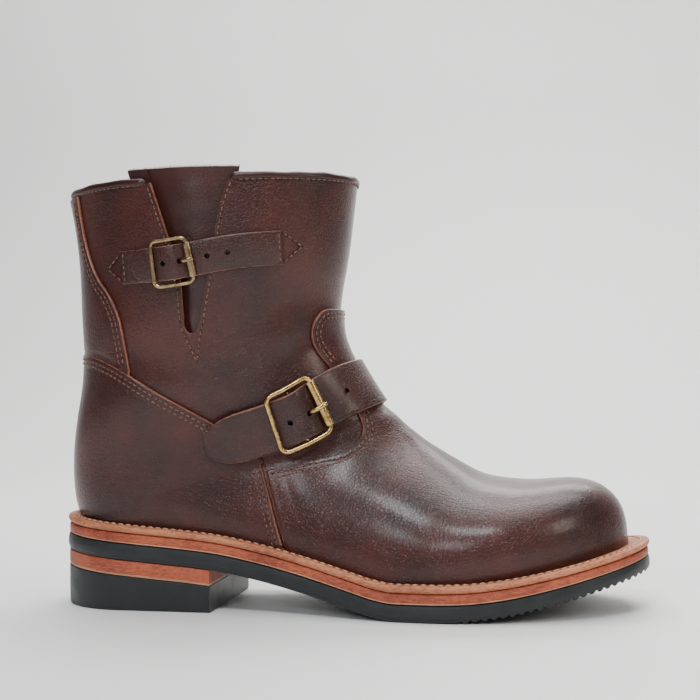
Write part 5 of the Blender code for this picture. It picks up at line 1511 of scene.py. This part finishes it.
def edge_loop(margin, extra):
    """The sole's outline as a closed loop, and its two sides as runs."""
    along = unit(np.roll(LOOP, -1, axis=0) - np.roll(LOOP, 1, axis=0))
    out = np.stack([along[:, 1], -along[:, 0]], axis=1)
    wide = np.broadcast_to(np.asarray(extra, float), LOOP_SHARE.shape).copy()
    if margin:
        wide += SIDE_MARGIN + (HEEL_MARGIN - SIDE_MARGIN) * (1 - smoothstep(LOOP_SHARE / 0.12))
        wide += (TOE_MARGIN - SIDE_MARGIN) * smoothstep((LOOP_SHARE - 0.78) / 0.22)
    moved = LOOP + out * wide[:, None]
    lateral_run = moved[:FEATHER_POINTS].copy()
    medial_run = np.concatenate([moved[:1], moved[FEATHER_POINTS - 1 :][::-1]])
    lateral_run[:, 0] = np.maximum.accumulate(lateral_run[:, 0])
    medial_run[:, 0] = np.maximum.accumulate(medial_run[:, 0])
    return lateral_run, medial_run


def outline_at(margin, extra, stop=None, per_side=320):
    """Points of the outline, evenly spread, the outer side first. With stop it ends in a straight breast."""
    runs = []
    for run in edge_loop(margin, extra):
        run = run + np.arange(len(run))[:, None] * np.array([1e-10, 0])
        if stop is not None:
            y = np.interp(stop, run[:, 0], run[:, 1])
            run = np.concatenate([run[run[:, 0] < stop], [[stop, y]]])
        length = distances_along(run)
        runs.append(read_along(np.linspace(0, length[-1], per_side), length, run))
    if stop is None:
        return np.concatenate([runs[0], runs[1][::-1][1:-1]]), per_side
    wall = np.linspace(0, 1, 24)[1:-1, None]
    breast = runs[0][-1] + (runs[1][-1] - runs[0][-1]) * wall
    return np.concatenate([runs[0], breast, runs[1][::-1][:-1]]), per_side


def layer(name, rings, looks, node, slot, bands=None, stop=None, ring=False, sharp=35):
    """A layer of the sole from rings of (margin, extra, height). bands gives each wall's material."""
    loops = []
    for margin, extra, height in rings:
        flat, side = outline_at(margin, extra, stop)
        z = height(flat[:, 0]) if callable(height) else np.full(len(flat), height)
        loops.append(np.concatenate([flat, np.reshape(z, (-1, 1))], axis=1))
    n, rows = len(loops[0]), len(loops)
    points = np.concatenate(loops)
    faces = grid_faces(rows, n, closed=True)
    bands = bands or [0] * (rows - 1)
    which = [band for band in bands for _ in range(n)]
    if ring:
        j = np.arange(n)
        faces += np.stack([(rows - 1) * n + j, (rows - 1) * n + (j + 1) % n, (j + 1) % n, j], axis=1).tolist()
        which += [0] * n
    else:
        for base in (0, (rows - 1) * n):
            for j in range(side - 1):
                a, b = base + j, base + j + 1
                c, d = base + (n - j) % n, base + (n - j - 1) % n
                if stop is not None and j == side - 2:
                    faces.append((a, b, d, c) if d != b else (a, b, c))
                    which.append(bands[0])
                    continue
                faces.append((a, b, d, c) if a != c and b != d else ((a, b, d) if b != d else (a, b, c)))
                which.append(bands[0])
            if stop is not None:
                faces.append(tuple(base + k for k in range(side - 1, n - side + 2)))
                which.append(bands[0])
    return add_piece(name, points, faces, looks, node, which, sharp=sharp)


def below(total, extra=0.0):
    """Height that lies so far below the welt's top, thinner towards the toe."""
    return lambda x: welt_top(x) - total * thinning(x) + extra


def saw(x, y):
    """Notches that the tread leaves along the edge of the forefoot."""
    wave = np.abs(((x * 1.0 + y * 0.35) / 0.0046) % 1.0 - 0.5) * 2
    return smoothstep((wave - 0.35) / 0.3) * 0.0011 * smoothstep((x - 0.160) / 0.020)


def rings_below(*rows):
    """Rings of a layer from how far each stands out and how far below the welt's top it lies."""
    return [(True, extra, below(total)) for extra, total in rows]


def build_sole():
    round_welt = (
        (0.0, 0.0012), (0.08, 0.0004), (0.2, 0.0001), (0.4, -0.0001), (0.65, 0.0001), (0.85, 0.0006),
        (1.0, 0.0015),
    )
    rings = [(False, -WALL - 0.0005, below(0.0)), (False, 0.0015, below(0.0))]
    rings += rings_below((-0.0050, 0.0), (-0.0025, 0.0), (-0.0017, 0.0))
    rings += rings_below(*((0.0004 - shrink, WELT * k) for k, shrink in round_welt), (-0.0030, WELT))
    rings.append((False, -WALL - 0.0005, below(WELT)))
    layer("welt_strip", rings, [welt_leather], "welt", "welt_leather", ring=True, sharp=60)

    top = WELT + GAP
    round_midsole = (
        (0.0, 0.0014), (0.06, 0.0008), (0.2, 0.0003), (0.5, 0.0002), (0.80, 0.0002), (0.88, 0.0004),
        (0.90, 0.0003), (1.0, 0.0004),
    )
    rings = rings_below((-0.0022, top - 0.0001), *((-shrink, top + MIDSOLE * k) for k, shrink in round_midsole))
    bands = [0, 0, 0, 0, 0, 0, 1, 1]
    layer("midsole_layer", rings, [midsole_leather, sole_line], "midsole", "midsole_leather", bands, sharp=60)

    top = WELT + MIDSOLE + 2 * GAP
    round_outsole = (
        (0.0004, 0.3), (0.0006, 0.62), (0.0004, 0.78), (0.0001, 0.80), (-0.0001, 0.97),
    )
    rings = rings_below((-0.0012, top), (-0.0001, top + 0.0004))
    rings += rings_below(*((extra, top + OUTSOLE * k) for extra, k in round_outsole), (-0.0006, STACK))
    outsole = layer("outsole_rubber", rings, [rubber], "outsole", "outsole_rubber", sharp=40)
    mesh = outsole.data
    co = np.empty(len(mesh.vertices) * 3, np.float32)
    mesh.vertices.foreach_get("co", co)
    co = co.reshape(-1, 3)
    near = co[:, 2] < below(STACK)(co[:, 0]) + 0.0005
    co[:, 2] += np.where(near, saw(co[:, 0], co[:, 1]), 0.0)
    mesh.vertices.foreach_set("co", co.ravel())
    mesh.update()

    seat = below(STACK, -GAP)

    def under_seat(drop):
        return lambda x: seat(x) - drop

    rings = [(True, -0.0006, seat), (True, -0.0001, under_seat(0.0004))]
    rings += [(True, 0.0, under_seat(HEEL_LIFT * 0.5)), (True, 0.0, under_seat(HEEL_LIFT * 0.86))]
    rings += [(True, -0.0002, under_seat(HEEL_LIFT * 0.88)), (True, -0.0003, under_seat(HEEL_LIFT))]
    looks, bands = [midsole_leather, sole_line], [0, 0, 0, 1, 1]
    layer("heel_lift_layer", rings, looks, "heel_lift", "lift_leather", bands, stop=BREAST, sharp=50)
    rings = [(True, -0.0005, under_seat(HEEL_LIFT + GAP)), (True, 0.0, under_seat(HEEL_LIFT + GAP + 0.0005))]
    rings += [(True, 0.0001, lambda x: (seat(x) - HEEL_LIFT) * 0.5)]
    rings += [(True, 0.0, 0.0012), (True, -0.0004, 0.0004), (True, -0.0010, 0.0)]
    layer("heel_block", rings, [rubber], "heel", "heel_rubber", stop=BREAST, sharp=40)
    inward = -WALL - CLEAR
    rings = [(False, inward - 0.0016, lambda x: welt_top(x) + INSOLE_ABOVE)]
    rings += [(False, inward - 0.0007, lambda x: welt_top(x) + INSOLE_ABOVE - 0.0007)]
    rings += [(False, inward - 0.0006, below(WELT))]
    layer("insole_leather", rings, [insole_leather], "insole", "insole_leather", sharp=50)


def welt_sewing():
    """Cream stitches on top of the welt, with dark discs between them that paint the shade in the awl's holes."""
    runs, holes = [], []
    for run in edge_loop(True, -0.0036):
        run = resampled(run, 0.0006)
        points = np.concatenate([run, welt_top(run[:, 0])[:, None] + 0.00020], axis=1)
        normals = np.tile(np.array([0.0, 0.0, 1.0]), (len(points), 1))
        runs.append((points, normals))
        length, at = stitch_ends(points, WELT_PITCH)
        holes.append(read_along(at, length, points))
    size = {"pitch": WELT_PITCH, "thread": WELT_THREAD, "fill": 0.70, "rise_by": -0.00012}
    add_stitches("welt_stitches", runs, cream_thread, "welt_leather", holes=False, **size)
    # Dark discs at the stitch ends paint the shade in the awl holes
    places = np.concatenate(holes)
    angle = np.arange(AWL_SIDES) * math.tau / AWL_SIDES
    ring = np.stack([np.cos(angle) * AWL_HOLE, np.sin(angle) * AWL_HOLE, np.zeros(AWL_SIDES)], axis=1)
    disc = np.concatenate([ring + [0, 0, -0.0004], ring + [0, 0, -0.00012]])
    points = (places[:, None, :] + disc[None, :, :]).reshape(-1, 3)
    faces = capped_faces(2, AWL_SIDES, len(places))
    add_piece("welt_awl_holes", points, faces, [hole_shade_look], sharp=0, weld=False)


build_upper()
dyed = [hide_panel, raw_edge]
panel("vamp_panel", vamp_outline(), PANEL, dyed, "vamp")
panel("counter_panel", counter_outline(), COUNTER, dyed, "counter", back=True)
panel("back_stay_panel", stay_outline(), PANEL - 0.0002, dyed, "back_stay", back=True)
build_gusset()
build_binding()
build_sole()
welt_sewing()
add_stitches("panel_stitches", seam_runs(), dark_thread, "vamp_leather")
add_stitches("slot_stitches", slot_rows(), dark_thread, "upper_leather")

outer_marks = [(s, -t) for s, t in located(STRAP_LINE)]
ridge_row = outer_marks[-1][0] - 0.16
over_instep = Course(outer_marks + [(ridge_row, 0.0)] + [(s, -t) for s, t in reversed(outer_marks)], sag=0.0008)
over_panels = LIFT + COUNTER + GAP
buckled(
    "instep",
    over_instep,
    over_instep.nearest(*side_point(0.428, 0.572)),
    (STRAP_WIDTH, STRAP, BUCKLE_LONG, BUCKLE_HIGH, BUCKLE_ROD, BUCKLE_ROLLER, PRONG, 0.021),
    over_instep.nearest(*side_point(0.330, 0.440)),
    (0.0, over_instep.length - 0.006),
    over_panels,
    over_panels,
    (hide_strap, strap_edge, brass),
    (-BUCKLE_LONG * 0.10 - 0.0020, BUCKLE_LONG * 1.15),
)
on_shaft = Course([(s, -t) for s, t in located(SHAFT_STRAP_LINE)])
buckled(
    "shaft",
    on_shaft,
    on_shaft.nearest(*side_point(0.227, 1.222)),
    (
        SHAFT_STRAP_WIDTH, SHAFT_STRAP, SHAFT_BUCKLE_LONG, SHAFT_BUCKLE_HIGH, SHAFT_BUCKLE_ROD,
        SHAFT_BUCKLE_ROLLER,
        PRONG * 0.9, 0.008,
    ),
    -0.0006,
    (0.0068, on_shaft.length),
    GAP + 0.0001,
    GAP + 0.0001,
    (hide_strap, strap_edge, old_brass),
    (-SHAFT_BUCKLE_LONG * 0.10 - 0.0018, SHAFT_BUCKLE_LONG * 0.95, SHAFT_BUCKLE_LONG * 1.5),
)
half_strap = SHAFT_STRAP_WIDTH / 2
stop = on_shaft.length
anchors = []
# where a row starts and ends, where it points between them (None: straight), half its spread, height
for end, tip, spread, height in (
    (stop + 0.0008, stop + 0.0105, half_strap * 0.85, 0.0002),
    (-0.0022, -0.0098, half_strap * 0.75, 0.0002),
    (0.0014, None, half_strap * 0.86, CHAPE + 0.00045),
    (stop - 0.0016, None, half_strap * 0.86, SHAFT_STRAP + 0.0004),
):
    between = [] if tip is None else [(tip, 0.0)]
    anchors += polygon_rows(on_shaft, [(end, spread), *between, (end, -spread)], height)
add_stitches("strap_anchor_stitches", anchors, dark_thread, "upper_leather", pitch=0.0026)


# Camera at the photograph's angle
CAMERA_ANGLES = (10.48, 0.77, -0.68)  # turn from in front, tip and roll, in degrees
CAMERA_DISTANCE = 0.7001
AIM_X, CAMERA_HEIGHT = 0.10885, 0.1214
SENSOR = 36.0
FOCAL_SHARE = 1346 / 700  # focal length as a share of the picture's width


def photo_camera():
    turn, tip, roll = (math.radians(v) for v in CAMERA_ANGLES)
    ahead = np.array([-math.sin(turn) * math.cos(tip), math.cos(turn) * math.cos(tip), math.sin(tip)])
    right = np.array([math.cos(turn), math.sin(turn), 0.0])
    above = np.cross(right, ahead)
    rolled_right = right * math.cos(roll) + above * math.sin(roll)
    rolled_up = -right * math.sin(roll) + above * math.cos(roll)
    stand = (AIM_X + math.sin(turn) * CAMERA_DISTANCE, -math.cos(turn) * CAMERA_DISTANCE, CAMERA_HEIGHT)
    rows = [[rolled_right[k], rolled_up[k], -ahead[k], v] for k, v in enumerate(stand)]
    data = bpy.data.cameras.new("photo_camera")
    data.sensor_width = SENSOR
    data.lens = FOCAL_SHARE * SENSOR
    data.clip_start, data.clip_end = 0.01, 20
    made = new_object("photo_camera", data)
    made.matrix_world = Matrix([*rows, [0, 0, 0, 1]])
    bpy.context.scene.camera = made


def soft_light(name, place, target, size, power, colour=(1, 1, 1)):
    data = bpy.data.lights.new(name, "AREA")
    data.shape = "RECTANGLE"
    data.size, data.size_y = size
    data.energy = power
    data.color = colour
    made = new_object(name, data)
    made.location = place
    made.rotation_euler = (Vector(target) - Vector(place)).to_track_quat("-Z", "Y").to_euler()


def studio():
    paper, _, shader = new_material("studio_paper")
    shader.inputs["Base Color"].default_value = (0.86, 0.86, 0.85, 1)
    shader.inputs["Roughness"].default_value = 0.55
    bend = np.radians(np.linspace(0, 90, 13))
    curve = [(0.75 + 0.5 * math.sin(a), 0.5 - 0.5 * math.cos(a)) for a in bend[1:]]
    profile = [(-3.0, 0.0), (0.75, 0.0), *curve, (1.25, 3.0)]
    points = [(x, y, z) for y, z in profile for x in (-4.0, 4.0)]
    faces = [(2 * k, 2 * k + 1, 2 * k + 3, 2 * k + 2) for k in range(len(profile) - 1)]
    mesh = bpy.data.meshes.new("studio_floor")
    mesh.from_pydata(points, [], faces)
    mesh.materials.append(paper)
    mesh.shade_smooth()
    floor = new_object("studio_floor", mesh)
    floor.location = (0.1, 0.0, -0.0001)
    world = bpy.data.worlds.new("studio_light")
    world.use_nodes = True
    world.node_tree.nodes["Background"].inputs[0].default_value = (0.86, 0.90, 1.0, 1)
    world.node_tree.nodes["Background"].inputs[1].default_value = 0.12
    bpy.context.scene.world = world
    soft_light("overhead", (0.15, 0.25, 1.8), (0.12, 0.15, 0.0), (1.8, 1.2), 26.0, (1.0, 0.98, 0.95))
    soft_light("front_high", (0.10, -0.85, 1.20), (0.14, 0.0, 0.06), (0.40, 0.30), 10.0, (0.93, 0.96, 1.0))
    soft_light("front_low", (-0.10, -1.15, 0.62), (0.08, 0.0, 0.12), (0.30, 0.30), 4.0, (0.93, 0.96, 1.0))
    soft_light("right", (1.00, -0.50, 0.55), (0.16, 0.0, 0.06), (0.25, 0.4), 3.0, (1.0, 0.90, 0.80))
    soft_light("behind", (0.25, 0.90, 1.00), (0.15, 0.0, 0.08), (0.9, 0.35), 9.0)
    soft_light("wall", (0.1, 0.45, 1.5), (0.1, 1.25, 0.5), (1.8, 0.5), 14.0)


photo_camera()
studio()
